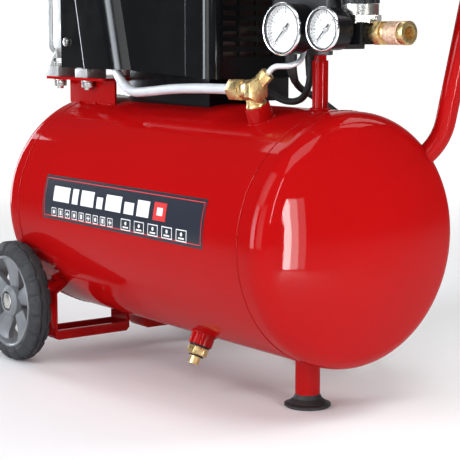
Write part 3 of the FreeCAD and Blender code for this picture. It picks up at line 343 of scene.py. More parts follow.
MATS = {
    "red": red_paint(),
    "cover": cover_plastic(),
    "black": black_paint(),
    "plastic": plain_plastic("black_plastic", (0.006, 0.006, 0.0068)),
    "rim": plain_plastic("rim_grey", (0.18, 0.19, 0.20), 0.36, 900, 0.04),
    "fan": plain_plastic("fan_grey", (0.16, 0.16, 0.17)),
    "tyre": rubber("tyre_rubber", (0.017, 0.018, 0.020), 0.72),
    "rubber": rubber("soft_rubber", (0.011, 0.011, 0.012), 0.58),
    "gasket": rubber("gasket_paper", (0.05, 0.048, 0.045), 0.8),
    "cast": cast_metal(),
    "zinc": drawn_metal("zinc_steel", (0.72, 0.71, 0.67), 0.28),
    "motor": drawn_metal("motor_steel", (0.22, 0.22, 0.23), 0.42, (0.1, 1, 1)),
    "chrome": drawn_metal("chrome", (0.88, 0.89, 0.91), 0.22),
    "pipe": pipe_metal(),
    "brass": brass(),
    "dial": print_ink("dial_white", (0.88, 0.88, 0.87), 0.45),
    "ink": print_ink("ink_black", (0.015, 0.015, 0.018)),
    "ink_red": print_ink("ink_red", (0.62, 0.02, 0.02)),
    "ink_white": print_ink("ink_white", (0.86, 0.86, 0.86)),
    # Painted shade: the dark brown of the sheet behind the vent slots, standing for the shaded inside of the
    # cover.
    "vent": plain_plastic("vent_shade_brown", (0.034, 0.013, 0.010), 0.7),
    "knurl": knurled(),
    "ink_navy": print_ink("ink_navy", (0.008, 0.012, 0.024), 0.3),
    "glass": clear_glass(),
}

# Which CAD nodes each material goes on.
NODE_MATS = {
    "red": "tank_barrel tank_end_front tank_end_rear foot_post wheel_bracket_left wheel_bracket_right "
           "pump_bracket riser_pipe handle_tube",
    "cover": "motor_cover",
    "black": "motor_cradle tank_gauge outlet_gauge regulator_body tank_needle outlet_needle",
    "plastic": "switch_cover switch_knob regulator_knob air_filter terminal_box mains_plug switch_base",
    "rim": "wheel_rim_left wheel_rim_right",
    "fan": "cooling_fan",
    "tyre": "tyre_left tyre_right",
    "rubber": "rubber_foot handle_grip motor_lead cord_glands mains_cord mains_coil",
    "gasket": "crankcase_gasket",
    "cast": "crankcase crankcase_cover cylinder cylinder_head piston connecting_rod",
    "zinc": "axle_fasteners mount_bolts head_bolts cover_screws motor_bearings safety_pull crank_disc",
    "motor": "motor_housing stator rotor",
    "brass": "check_valve drain_body drain_screw safety_valve coupler_body",
    "knurl": "coupler_sleeve",
    "pipe": "discharge_pipe unloader_pipe",
    "glass": "gauge_glasses",
}


def paint_nodes():
    """Gives every CAD node its material."""
    for key, names in NODE_MATS.items():
        for name in names.split():
            data = NODES[name].data
            data.materials.clear()
            data.materials.append(MATS[key])


def two_finish(name, key, level):
    """Gives the part of a node above a height, in millimetres, a second material."""
    data = NODES[name].data
    data.materials.append(MATS[key])
    for face in data.polygons:
        if face.center.z > at(0, 0, level).z:
            face.material_index = 1


# ---------------------------------------------------------------- making pieces

def piece(name, bm, mats, body, sharp=35.0, replaces=()):
    """A mesh object from a bmesh, with its materials and body."""
    mesh = bpy.data.meshes.new(name)
    bmesh.ops.recalc_face_normals(bm, faces=bm.faces)
    bm.to_mesh(mesh)
    bm.free()
    mesh.polygons.foreach_set("use_smooth", [True] * len(mesh.polygons))
    mesh.set_sharp_from_angle(angle=math.radians(sharp))
    obj = bpy.data.objects.new(name, mesh)
    bpy.context.scene.collection.objects.link(obj)
    for key in mats:
        mesh.materials.append(MATS[key])
    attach(obj, body)
    if replaces:
        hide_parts(*replaces)
    return obj


def frame_of(axis):
    """An axis at unit length, and two unit vectors across it and each other."""
    axis = Vector(axis).normalized()
    side = axis.cross(Vector((0, 0, 1)))
    if side.length < 0.1:
        side = axis.cross(Vector((0, 1, 0)))
    side.normalize()
    return axis, side, axis.cross(side)


def join_rings(bm, rings):
    """Quads between neighbouring open rings, and from the last ring back to the first."""
    for here, there in zip(rings, rings[1:] + rings[:1]):
        for k in range(len(here) - 1):
            bm.faces.new((here[k], there[k], there[k + 1], here[k + 1]))


def loft(bm, rings, closed=False):
    """A tube through closed rings, either joined back to its start or capped at both ends."""
    for low, high in zip(rings, rings[1:] + (rings[:1] if closed else [])):
        for k in range(len(low)):
            n = (k + 1) % len(low)
            bm.faces.new((low[k], low[n], high[n], high[k]))
    if not closed:
        bm.faces.new(rings[0])
        bm.faces.new(rings[-1][::-1])


def lathe(bm, profile, base, axis, steps):
    """Turns (radius, along) points, in mm, about an axis through base, a point in metres."""
    axis, side, up = frame_of(axis)
    rings = []
    for i in range(steps):
        a = 2 * math.pi * i / steps
        out = side * math.cos(a) + up * math.sin(a)
        rings.append([bm.verts.new(base + axis * s * MM + out * r * MM) for r, s in profile])
    join_rings(bm, rings)
    for k, (r, s) in enumerate(profile):
        if r == 0 and k in (0, len(profile) - 1):
            bmesh.ops.remove_doubles(bm, verts=[ring[k] for ring in rings], dist=1e-7)


def slab(bm, corners, thickness, mat=0, bevel=0.0):
    """A flat plate with the given corners, in metres, thickened along the vector thickness."""
    low = [bm.verts.new(c) for c in corners]
    high = [bm.verts.new(c + thickness) for c in corners]
    faces = [bm.faces.new(low[::-1]), bm.faces.new(high)]
    n = len(low)
    for i in range(n):
        faces.append(bm.faces.new((low[i], low[(i + 1) % n], high[(i + 1) % n], high[i])))
    for face in faces:
        face.material_index = mat
    if bevel:
        edges = list(dict.fromkeys(e for f in faces for e in f.edges))
        bmesh.ops.bevel(bm, geom=edges, offset=bevel * MM, segments=2, affect="EDGES", profile=0.6)


FLAT_ANGLE, SHARP_ANGLE = 0.8, 28.0


def refined(name, key, body, width):
    """A copy of a CAD node with its sharp edges softened by a narrow bevel."""
    bm = bmesh.new()
    bm.from_mesh(NODES[name].data)
    bmesh.ops.remove_doubles(bm, verts=bm.verts, dist=2e-6)
    bmesh.ops.dissolve_limit(bm, angle_limit=math.radians(FLAT_ANGLE), verts=bm.verts, edges=bm.edges)
    chosen = [e for e in bm.edges
              if len(e.link_faces) == 2 and e.calc_face_angle() > math.radians(SHARP_ANGLE)]
    bmesh.ops.bevel(bm, geom=chosen, offset=width * MM, segments=2, affect="EDGES", profile=0.5,
                    clamp_overlap=True)
    piece(f"{name}_shape", bm, [key], body, sharp=32, replaces=[name])


def curve_piece(name, points, radius, mat, body, taper=None):
    """A round tube on a smooth NURBS line; taper lists each point's share of the radius."""
    data = bpy.data.curves.new(name, "CURVE")
    data.dimensions = "3D"
    data.bevel_depth = radius * MM
    data.bevel_resolution = 6
    data.resolution_u = 8
    data.use_fill_caps = True
    spline = data.splines.new("NURBS")
    spline.points.add(len(points) - 1)
    for i, (p, q) in enumerate(zip(spline.points, points)):
        p.co = (*q, 1.0)
        p.radius = taper[i] if taper else 1.0
    spline.order_u = 3
    spline.use_endpoint_u = True
    obj = bpy.data.objects.new(name, data)
    bpy.context.scene.collection.objects.link(obj)
    data.materials.append(MATS[mat])
    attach(obj, body)
    return obj


# ---------------------------------------------------------------- cords

LEAD_R = 3.5
MAINS_ROUTE = [
    (146.1, -11.6, 178.0), (146.1, -11.6, 168.0), (144.7, -8.6, 157.5), (142.1, -3.0, 149.6),
    (138.5, 5.0, 144.0), (134.0, 14.5, 140.2), (129.4, 25.0, 136.8), (125.0, 40.0, 130.6),
    (121.0, 59.0, 122.0), (118.0, 80.0, 109.5), (115.0, 101.0, 91.0), (112.0, 119.0, 66.0),
    (109.0, 131.0, 36.0), (105.0, 136.5, 3.0), (100.0, 139.0, -32.0), (93.0, 143.5, -68.0),
    (83.0, 152.0, -104.0), (68.0, 166.0, -135.0), (47.0, 184.5, -157.0), (21.0, 202.0, -167.6),
    (-8.0, 217.0, -170.3), (-33.0, 229.0, -170.3),
]
MOTOR_RELIEF_ROUTE = [(154.1, 6.5, 178.0), (154.1, 6.5, 166.0), (153.6, 6.5, 155.0)]
TAIL_ROUTE = [(-47.0, 137.7, -163.0), (-33.0, 137.7, -160.6), (-20.5, 137.7, -156.4), (-8.0, 137.7, -155.0)]
COIL_X, COIL_Y = -58.9, 183.9
COIL_OUTER, COIL_PITCH, COIL_INNER, COIL_TAIL = 51.2, 7.15, 28.4, 46.2
COIL_START, TOP_SWEEP, TURN_POINTS = 60.0, 750.0, 18
LAYER_1 = FLOOR_Z + LEAD_R + 0.1
LAYER_2 = LAYER_1 + 7.1


def coil_points():
    """Three turns inwards on the floor, half a turn that climbs, and about two outwards on top."""
    start = math.radians(COIL_START)
    step = 2 * math.pi / TURN_POINTS
    climb_from = 3 * TURN_POINTS
    climb_to = climb_from + TURN_POINTS // 2
    last = climb_to + round(math.radians(TOP_SWEEP) / step)
    points = []
    for i in range(last + 1):
        angle = start + i * step
        if i <= climb_from:
            radius = COIL_OUTER - COIL_PITCH * i / TURN_POINTS
            z = LAYER_1
        elif i <= climb_to:
            share = (i - climb_from) / (climb_to - climb_from)
            radius = COIL_INNER
            z = LAYER_1 + (LAYER_2 - LAYER_1) * share
        else:
            share = (i - climb_to) / (last - climb_to)
            radius = COIL_INNER + (COIL_TAIL - COIL_INNER) * share
            z = LAYER_2
        points.append((COIL_X + radius * math.cos(angle), COIL_Y + radius * math.sin(angle), z))
    return points


def make_cords():
    """The mains lead with its strain relief, and the relief of the motor's lead."""
    route = MAINS_ROUTE[:-1] + coil_points() + TAIL_ROUTE
    cord = curve_piece("mains_lead", [at(*p) for p in route], LEAD_R, "rubber", "frame")
    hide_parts("mains_cord", "mains_coil")
    relief_points = [at(*p) for p in MAINS_ROUTE[:4]]
    relief = curve_piece("mains_strain_relief", relief_points, 6.2, "rubber", "frame",
                         taper=(1.0, 0.92, 0.76, 0.6))
    motor_points = [at(*p) for p in MOTOR_RELIEF_ROUTE]
    curve_piece("motor_lead_relief", motor_points, 6.0, "rubber", "frame",
                taper=(1.0, 0.88, 0.68))


# ---------------------------------------------------------------- wheels

TYRE_IN, TYRE_OUT, TYRE_R, RIM_R = 119.0, 146.0, 68.0, 52.0
TYRE_STEPS, GROOVE, TREAD_GAP = 144, 1.6, 1.5
WHEEL_X, WHEEL_Z = -204.0, -106.0
HUB_IN, SPOKES = 106.0, 5


def make_tyre(side, sign):
    """A treaded tyre: grooved crown, tread blocks across the shoulders and raised sidewall blocks."""
    bm = bmesh.new()
    base = at(WHEEL_X, sign * TYRE_IN, WHEEL_Z)
    axis, across, up = frame_of((0, sign, 0))
    width = TYRE_OUT - TYRE_IN
    mid = width / 2
    floor = TYRE_R - GROOVE
    profile = [(RIM_R, 2.0), (RIM_R + 2.5, 0.6), (RIM_R + 6, 0.0), (60, 1.4), (64.5, 3.2), (66.6, 5.4),
               (TYRE_R, 8.2), (TYRE_R, mid - 4.4), (floor, mid - 3.8), (floor, mid - 2.8),
               (TYRE_R, mid - 2.2), (TYRE_R, mid + 2.2), (floor, mid + 2.8), (floor, mid + 3.8),
               (TYRE_R, mid + 4.4), (TYRE_R, width - 8.2), (66.6, width - 5.4), (64.5, width - 3.2),
               (60, width - 1.4), (RIM_R + 6, width), (RIM_R + 2.5, width - 0.6), (RIM_R, width - 2.0),
               (RIM_R, 2.0)]
    rings = []
    for i in range(TYRE_STEPS):
        a = 2 * math.pi * i / TYRE_STEPS
        out = across * math.cos(a) + up * math.sin(a)
        near_gap, far_gap = i % 8 < 2, (i + 4) % 8 < 2
        ring = []
        for k, (r, s) in enumerate(profile):
            if (near_gap and 4 <= k <= 7) or (far_gap and 14 <= k <= 17):
                r -= TREAD_GAP
            if near_gap and 2 <= k <= 5:
                s += TREAD_GAP
            if far_gap and 16 <= k <= 19:
                s -= TREAD_GAP
            ring.append(bm.verts.new(base + axis * s * MM + out * r * MM))
        rings.append(ring)
    join_rings(bm, rings)
    bmesh.ops.remove_doubles(bm, verts=bm.verts, dist=1e-6)
    piece(f"tyre_tread_{side}", bm, ["tyre"], f"wheel_{side}", sharp=28,
          replaces=[f"tyre_{side}"])


def make_rim(side, sign):
    """A moulded rim: deep band, five broad spokes with a ridge down the middle, and a stepped hub."""
    bm = bmesh.new()
    outward = Vector((0, sign, 0))
    centre = at(WHEEL_X, 0, WHEEL_Z)

    def spot(r, angle, y):
        return centre + Vector((math.sin(angle), 0, math.cos(angle))) * r * MM + outward * y * MM

    base = at(WHEEL_X, sign * HUB_IN, WHEEL_Z)
    band = [(45.5, 15.0), (RIM_R, 14.6), (RIM_R - 0.05, 38.3), (50.4, 38.9), (48.8, 37.6), (46.8, 31.0),
            (45.5, 15.0)]
    lathe(bm, band, base, outward, 120)
    hub = [(6.05, 0), (14.5, 0), (15, 0.6), (15.5, 26), (18.5, 29), (17.6, 34.5), (14.0, 37.6), (11.6, 38.3),
           (11.0, 37.6), (11.0, 32.0), (6.05, 32.0), (6.05, 0)]
    lathe(bm, hub, base, outward, 72)
    # Along a spoke: radius, half width, and how far out its back and its ridge are.
    sections = [(13.0, 10.0, 126.0, 138.5), (22.0, 10.5, 126.5, 139.0), (32.0, 12.0, 128.0, 139.6),
                (40.0, 14.5, 130.0, 140.6), (45.0, 18.5, 131.0, 141.6), (49.0, 23.5, 131.5, 142.6)]
    for i in range(SPOKES):
        middle = 2 * math.pi * i / SPOKES
        rings = []
        for r, half, low, high in sections:
            depth = high - low
            flank = [(1.0, low), (1.0, low + depth * 0.55), (0.8, low + depth * 0.72), (0.10, high - 0.3)]
            outline = [(-share, y) for share, y in flank] + [(0.0, high)] + flank[::-1]
            rings.append([bm.verts.new(spot(r, middle + math.atan2(half * share, r), y))
                          for share, y in outline])
        loft(bm, rings)
    piece(f"rim_{side}", bm, ["rim"], f"wheel_{side}", sharp=24,
          replaces=[f"wheel_rim_{side}"])


# ---------------------------------------------------------------- gauges

GAUGE_Z = 201.0
GAUGES = {
    "tank": dict(x=-4.7, face=-49.8, radius=25.0, top=16, body="tank_pointer"),
    "outlet": dict(x=54.9, face=-56.6, radius=20.5, top=12, body="outlet_pointer"),
}
SWEEP_FROM, SWEEP = -135.0, 270.0
RED_FROM, RED_PARTS = 0.70, 16
DIAL_LEVEL, HUB_LEVEL = -7.2, -5.6


def make_gauge(name, spec):
    """Bezel, printed dial, scale marks, figures and the needle's steel hub."""
    radius = spec["radius"]
    out = Vector((math.sin(HEAD_TURN), -math.cos(HEAD_TURN), 0))
    right = Vector((math.cos(HEAD_TURN), math.sin(HEAD_TURN), 0))
    centre = on_head(spec["x"], spec["face"], GAUGE_Z)

    bm = bmesh.new()
    bezel = [(radius - 0.9, -2.6), (radius + 0.15, -2.2), (radius + 0.15, -1.0), (radius - 0.5, -0.2),
             (radius - 1.3, 0.2), (radius - 2.0, 0.0), (radius - 2.4, -0.9), (radius - 2.5, -3.6),
             (radius - 3.1, -4.0), (radius - 3.1, -7.0), (radius - 2.5, -7.2), (radius - 2.2, -3.0),
             (radius - 0.9, -2.6)]
    lathe(bm, bezel, centre, out, 128)
    piece(f"{name}_bezel", bm, ["chrome"], "frame", sharp=40)

    def spot(r, degrees, lift):
        """A place on the dial, at an angle clockwise from the top."""
        a = math.radians(degrees)
        way = right * math.sin(a) + Vector((0, 0, math.cos(a)))
        return centre + way * r * MM + out * (DIAL_LEVEL + lift) * MM

    bm = bmesh.new()
    plate = [(0, 0.0), (radius - 2.9, 0.0), (radius - 2.9, 0.3), (0, 0.3)]
    lathe(bm, plate, centre + out * DIAL_LEVEL * MM, out, 96)
    marks = 2 * spec["top"]
    for i in range(marks + 1):
        angle = SWEEP_FROM + SWEEP * i / marks
        long = i % 4 == 0
        outer = radius - 4.0
        inner = outer - (3.0 if long else 1.7)
        half = 0.42 if long else 0.26
        turn = math.degrees(half / outer)
        corners = [spot(outer, angle - turn, 0.32), spot(outer, angle + turn, 0.32),
                   spot(inner, angle + turn, 0.32), spot(inner, angle - turn, 0.32)]
        slab(bm, corners, out * 0.08 * MM, mat=1)
    for i in range(RED_PARTS):
        a0, a1 = (SWEEP_FROM + SWEEP * (RED_FROM + (1 - RED_FROM) * k / RED_PARTS) for k in (i, i + 1))
        corners = [spot(radius - 3.2, a0, 0.31), spot(radius - 3.2, a1, 0.31), spot(radius - 3.9, a1, 0.31),
                   spot(radius - 3.9, a0, 0.31)]
        slab(bm, corners, out * 0.06 * MM, mat=2)
    piece(f"{name}_dial", bm, ["dial", "ink", "ink_red"], "frame", sharp=30)

    turn = Matrix((right, Vector((0, 0, 1)), out)).transposed().to_4x4()
    for i in range(0, spec["top"] + 1, 4):
        text = bpy.data.curves.new(f"{name}_figure_{i}", "FONT")
        text.body = str(i)
        text.size = 3.6 * MM if radius > 22 else 3.0 * MM
        text.align_x = "CENTER"
        text.align_y = "CENTER"
        text.extrude = 0.03 * MM
        text.materials.append(MATS["ink"])
        figure = bpy.data.objects.new(f"{name}_figure_{i}", text)
        bpy.context.scene.collection.objects.link(figure)
        angle = SWEEP_FROM + SWEEP * i / spec["top"]
        figure.matrix_world = Matrix.Translation(spot(radius - 9.2, angle, 0.34)) @ turn
        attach(figure, "frame")

    bm = bmesh.new()
    hub = [(0, 0.0), (2.3, 0.0), (2.3, 1.6), (1.9, 2.0), (0.7, 2.0), (0.6, 1.7), (0, 1.7)]
    lathe(bm, hub, centre + out * HUB_LEVEL * MM, out, 40)
    piece(f"{name}_needle_hub", bm, ["zinc"], spec["body"], sharp=30)


# ---------------------------------------------------------------- label and welds

LABEL_X0, LABEL_X1 = -152.0, 154.5
LABEL_TOP, LABEL_BOTTOM = 70.4, 92.6
WRAP_STEP, DISC_STEPS = 1.5, 20
# How far each printed layer stands off the barrel, and the place of each ink in the label's materials.
PLATE, BORDER, BLOCK, INSIDE, SYMBOL = 0.25, 0.32, 0.34, 0.36, 0.38
NAVY, RED, PALE = 0, 1, 2


def wrap(bm, x0, x1, a0, a1, lift, mat):
    """A thin patch that lies on the barrel between two places along it and two angles from the top."""
    across = max(1, round(abs(a1 - a0) / WRAP_STEP))
    r = TANK_R + lift
    grid = []
    for i in range(across + 1):
        a = math.radians(a0 + (a1 - a0) * i / across)
        grid.append([bm.verts.new(at(x, -math.sin(a) * r, math.cos(a) * r)) for x in (x0, x1)])
    for low, high in zip(grid, grid[1:]):
        face = bm.faces.new((low[0], high[0], high[1], low[1]))
        face.material_index = mat


def wrap_disc(bm, x, a, radius, lift, mat):
    """A thin round mark on the barrel."""
    r = TANK_R + lift
    ring = []
    for i in range(DISC_STEPS):
        t = 2 * math.pi * i / DISC_STEPS
        angle = math.radians(a) + radius * math.sin(t) / TANK_R
        ring.append(bm.verts.new(at(x + radius * math.cos(t), -math.sin(angle) * r, math.cos(angle) * r)))
    bm.faces.new(ring).material_index = mat


def make_label():
    """A dark plate with a thin red frame, plain pale bars and a row of small pictogram boxes."""
    bm = bmesh.new()
    wrap(bm, LABEL_X0, LABEL_X1, LABEL_TOP, LABEL_BOTTOM, PLATE, NAVY)
    line, inset = 0.9, 3.0
    degree = math.degrees(1 / TANK_R)
    x0, x1 = LABEL_X0 + inset, LABEL_X1 - inset
    a0, a1 = LABEL_TOP + inset * degree, LABEL_BOTTOM - inset * degree
    for side in ((x0, x1, a0, a0 + line * degree), (x0, x1, a1 - line * degree, a1),
                 (x0, x0 + line, a0, a1), (x1 - line, x1, a0, a1)):
        wrap(bm, *side, BORDER, RED)
    bar_x = LABEL_X0 + 22
    for width, gap, top in ((34, 6, 75.6), (12, 6, 75.6), (26, 6, 75.6), (12, 6, 77.6), (30, 6, 75.6),
                            (18, 6, 77.6), (22, 8, 75.6)):
        wrap(bm, bar_x, bar_x + width, top, 83.2, BLOCK, PALE)
        bar_x += width + gap
    wrap(bm, bar_x, bar_x + 22, 75.2, 83.6, BLOCK, RED)
    wrap(bm, bar_x + 6, bar_x + 16, 77.6, 81.2, INSIDE, PALE)
    for i in range(9):
        x = LABEL_X0 + 20 + i * 14.5
        wrap(bm, x, x + 10, 86.6, 90.8, BLOCK, PALE)
        wrap(bm, x + 0.8, x + 9.2, 86.97, 90.43, INSIDE, NAVY)
        if i % 3 == 0:
            wrap_disc(bm, x + 5, 88.7, 2.2, SYMBOL, PALE)
        elif i % 3 == 1:
            wrap(bm, x + 3, x + 7, 87.6, 89.8, SYMBOL, PALE)
        else:
            wrap(bm, x + 2, x + 8, 88.4, 89.1, SYMBOL, PALE)
            wrap(bm, x + 4.4, x + 5.6, 87.5, 90.0, SYMBOL, PALE)
    for i in range(5):
        x = LABEL_X0 + 162 + i * 25
        wrap(bm, x, x + 18, 85.6, 91.0, BLOCK, PALE)
        wrap(bm, x + 0.9, x + 17.1, 86.0, 90.6, INSIDE, NAVY)
        wrap_disc(bm, x + 9, 87.7, 1.9, SYMBOL, PALE)
        wrap(bm, x + 4, x + 14, 89.2, 89.9, SYMBOL, PALE)
    bmesh.ops.recalc_face_normals(bm, faces=bm.faces)
    piece("side_label", bm, ["ink_navy", "ink_red", "ink_white"], "frame", sharp=60)


BEAD_SIDES = 8


def bead(bm, points, radius, closed, seed):
    """A weld bead: a lumpy tube along points, in metres."""
    rng = random.Random(seed)
    rings = []
    count = len(points)
    for i, p in enumerate(points):
        ahead = points[(i + 1) % count] if closed or i < count - 1 else p
        back = points[i - 1] if closed or i > 0 else p
        _, side, up = frame_of(ahead - back)
        r = radius * (1 + 0.22 * math.sin(i * 1.9) + rng.uniform(-0.12, 0.12)) * MM
        rings.append([bm.verts.new(p + (side * math.cos(t) + up * math.sin(t)) * r)
                      for t in (2 * math.pi * k / BEAD_SIDES for k in range(BEAD_SIDES))])
    loft(bm, rings, closed)


def bead_round(bm, base, axis, radius, thick):
    """A plain round ring of round section."""
    profile = [(radius + thick * math.cos(math.radians(30 * k)), thick * math.sin(math.radians(30 * k)))
               for k in range(13)]
    lathe(bm, profile, base, axis, 48)


def circle_points(base, axis, radius, count):
    """Points round a circle, its radius in mm, about an axis through base, a point in metres."""
    _, side, up = frame_of(axis)
    angles = [2 * math.pi * i / count for i in range(count)]
    return [base + (side * math.cos(a) + up * math.sin(a)) * radius * MM for a in angles]


def around_pipe(x, y, radius, count):
    """Points where an upright pipe meets the barrel."""
    points = []
    for i in range(count):
        a = 2 * math.pi * i / count
        py = y + radius * math.sin(a)
        z = math.sqrt(TANK_R ** 2 - py ** 2)
        points.append(at(x + radius * math.cos(a), py, z))
    return points


FOOT_X, BRACKET_Y, STUB_R = 161.0, 43.4, 12.9
VALVE_X, VALVE_TILT = 147.0, 23.0
DRAIN_X, DRAIN_TILT = 55.0, 155.0


def tilted(degrees):
    """The way out from the tank's axis, so far round from the top towards the gauges' side."""
    a = math.radians(degrees)
    return Vector((0, -math.sin(a), math.cos(a)))


def make_welds():
    """Beads at the seams, the pipes, the fittings and the pump bracket, and the drain's two soft rings."""
    bm = bmesh.new()
    bead(bm, circle_points(at(BARREL_HALF, 0, 0), (1, 0, 0), TANK_R - 0.1, 420), 0.75, True, 1)
    bead(bm, circle_points(at(-BARREL_HALF, 0, 0), (1, 0, 0), TANK_R - 0.1, 420), 0.75, True, 2)
    piece("seam_welds", bm, ["red"], "frame", sharp=50)
    bm = bmesh.new()
    bead(bm, around_pipe(RISER_X, 0, 8.6, 44), 1.6, True, 3)
    foot = [Vector((p.x, p.y, 2 * TANK_CENTRE.z - p.z)) for p in around_pipe(FOOT_X, 0, STUB_R, 60)]
    bead(bm, foot, 1.3, True, 4)
    for tilt, x in ((VALVE_TILT, VALVE_X), (DRAIN_TILT, DRAIN_X)):
        way = tilted(tilt)
        bead(bm, circle_points(at(x, 0, 0) + way * (TANK_R - 0.3) * MM, way, STUB_R, 56), 1.2, True, 5)
    for y in (-BRACKET_Y, BRACKET_Y):
        z = math.sqrt(TANK_R ** 2 - y ** 2) + 0.2
        for i in range(3):
            line = [-222.0 + i * 34 + 1.5 * k for k in range(14)]
            reach = [x for x in line if x > -BARREL_HALF + 1]
            if len(reach) > 3:
                bead(bm, [at(x, y, z) for x in reach], 1.5, False, 6 + i)
    piece("bracket_welds", bm, ["red"], "frame", sharp=50)
    way = tilted(DRAIN_TILT)
    for name, body, distance, radius, thick in (("drain_seal", "frame", 137.0, 9.9, 1.0),
                                                ("drain_ring", "drain_handle", 147.6, 7.2, 0.8)):
        bm = bmesh.new()
        bead_round(bm, at(DRAIN_X, 0, 0) + way * distance * MM, way, radius, thick)
        piece(name, bm, ["rubber"], body, sharp=60)


# ---------------------------------------------------------------- cover

COVER_X0, HOOD_X0, COVER_X1 = -218.0, -244.0, 75.0
COVER_HALF, PANEL_HALF, SWELL_HALF = 60.0, 57.0, 69.0
PANEL_X0, PANEL_X1 = -157.0, 31.0
END_CORNER_R, TOP_R = 14.0, 9.0
COVER_TOP = [(-260.0, 346.0), (-112.0, 346.0), (-64.0, 288.0), (50.0, 276.0), (75.0, 252.0), (90.0, 240.0)]
COVER_BOTTOM = [(-260.0, 157.0), (-85.0, 157.0), (75.0, 151.0), (90.0, 150.5)]
SWELL_BOTTOM, SWELL_TOP, SWELL_LEAN_LEFT, SWELL_LEAN_RIGHT = 157.2, 318.0, 0.24, 0.27
SWELL_UPRIGHT_Z, SWELL_FADE_FROM, SWELL_FADED_HALF = 150.0, 0.82, 58.5
WALL_STEPS, EDGE_STEPS, SWELL_STEPS = 12, 6, 21
WALL = 2.5
VENT_Z, VENT_PITCH, VENT_COUNT, VENT_HEIGHT = 175.5, 10.3, 7, 5.0
VENT_BREAKS = [-42.0, -23.3, -20.7, -1.3, 1.3, 20.7, 23.3, 42.0]


def level_at(table, x):
    """The height of a line of (x, height) points at a place along it."""
    for (x0, z0), (x1, z1) in zip(table, table[1:]):
        if x <= x1:
            return z0 + (z1 - z0) * (x - x0) / (x1 - x0)
    return table[-1][1]


def rounded(corners, steps, run):
    """Points along a polyline of (x, y, radius) corners, with arcs of so many steps and runs cut short."""
    points = []
    count = len(corners)
    for i, (x, y, r) in enumerate(corners):
        here = Vector((x, y))
        if i in (0, count - 1) or r == 0:
            points.append(here)
            continue
        back = (Vector(corners[i - 1][:2]) - here).normalized()
        on = (Vector(corners[i + 1][:2]) - here).normalized()
        half = back.angle(on) / 2
        trim = r / math.tan(half)
        centre = here + (back + on).normalized() * (r / math.sin(half))
        a, b = here + back * trim - centre, here + on * trim - centre
        turn = a.angle_signed(b)
        for k in range(steps + 1):
            angle = -turn * k / steps
            c, d = math.cos(angle), math.sin(angle)
            points.append(centre + Vector((a.x * c - a.y * d, a.x * d + a.y * c)))
    full = [points[0]]
    for p, q in zip(points, points[1:]):
        parts = max(1, int((q - p).length / run))
        full += [p + (q - p) * (k + 1) / parts for k in range(parts)]
    return full


def outward_ways(points):
    """The unit vector to the right of a line's direction at each of its points."""
    ways = []
    for i in range(len(points)):
        a = points[max(0, i - 1)]
        b = points[min(len(points) - 1, i + 1)]
        t = (b - a).normalized()
        ways.append(Vector((t.y, -t.x)))
    return ways


def grid_faces(bm, rows):
    """Joins rows of vertices into quads."""
    for low, high in zip(rows, rows[1:]):
        for k in range(len(low) - 1):
            quad = (low[k], low[k + 1], high[k + 1], high[k])
            if len(set(quad)) == 4:
                bm.faces.new(quad)


def top_edge(step):
    """How far in, and how far below the top, the rounded top edge is at one of its steps."""
    phi = math.radians(90 * step / EDGE_STEPS)
    return TOP_R * (1 - math.cos(phi)), TOP_R * (1 - math.sin(phi))


def cover_sides(bm, plan):
    """Both side walls and the rounded edges above them, joined across the top."""
    ways = outward_ways(plan)
    tops = []
    for sign in (-1, 1):
        rows = []
        for s in range(WALL_STEPS + 1):
            row = []
            for p in plan:
                low, high = level_at(COVER_BOTTOM, p.x), level_at(COVER_TOP, p.x) - TOP_R
                row.append(bm.verts.new(at(p.x, p.y * -sign, low + (high - low) * s / WALL_STEPS)))
            rows.append(row)
        for s in range(1, EDGE_STEPS + 1):
            inward, down = top_edge(s)
            row = []
            for p, way in zip(plan, ways):
                q = p - way * inward
                row.append(bm.verts.new(at(max(q.x, COVER_X0), q.y * -sign, level_at(COVER_TOP, p.x) - down)))
            rows.append(row)
        grid_faces(bm, rows)
        tops.append(rows[-1])
    grid_faces(bm, tops)


def cover_end(bm):
    """The end wall with its vent slots, and the rounded edge above it."""
    reach = COVER_HALF - END_CORNER_R
    top = level_at(COVER_TOP, COVER_X1)
    ys = [-reach] + VENT_BREAKS + [reach]
    zs = [level_at(COVER_BOTTOM, COVER_X1)]
    for row in range(VENT_COUNT):
        middle = VENT_Z + VENT_PITCH * row
        zs += [middle - VENT_HEIGHT / 2, middle + VENT_HEIGHT / 2]
    zs.append(top - TOP_R)
    wall = [[bm.verts.new(at(COVER_X1, y, z)) for y in ys] for z in zs]
    for i in range(len(zs) - 1):
        for k in range(len(ys) - 1):
            open_slot = i % 2 == 1 and k % 2 == 1
            if not open_slot:
                bm.faces.new((wall[i][k], wall[i][k + 1], wall[i + 1][k + 1], wall[i + 1][k]))
    strip = []
    for s in range(EDGE_STEPS + 1):
        inward, down = top_edge(s)
        strip.append([bm.verts.new(at(COVER_X1 - inward, y, top - down)) for y in (-reach, reach)])
    grid_faces(bm, strip)


def sharpen_rims(mesh):
    """Marks a mesh's open edges sharp, so that the wall made from it has crisp lips."""
    uses = Counter(key for face in mesh.polygons for key in face.edge_keys)
    for edge in mesh.edges:
        if uses[edge.key] == 1:
            edge.use_edge_sharp = True


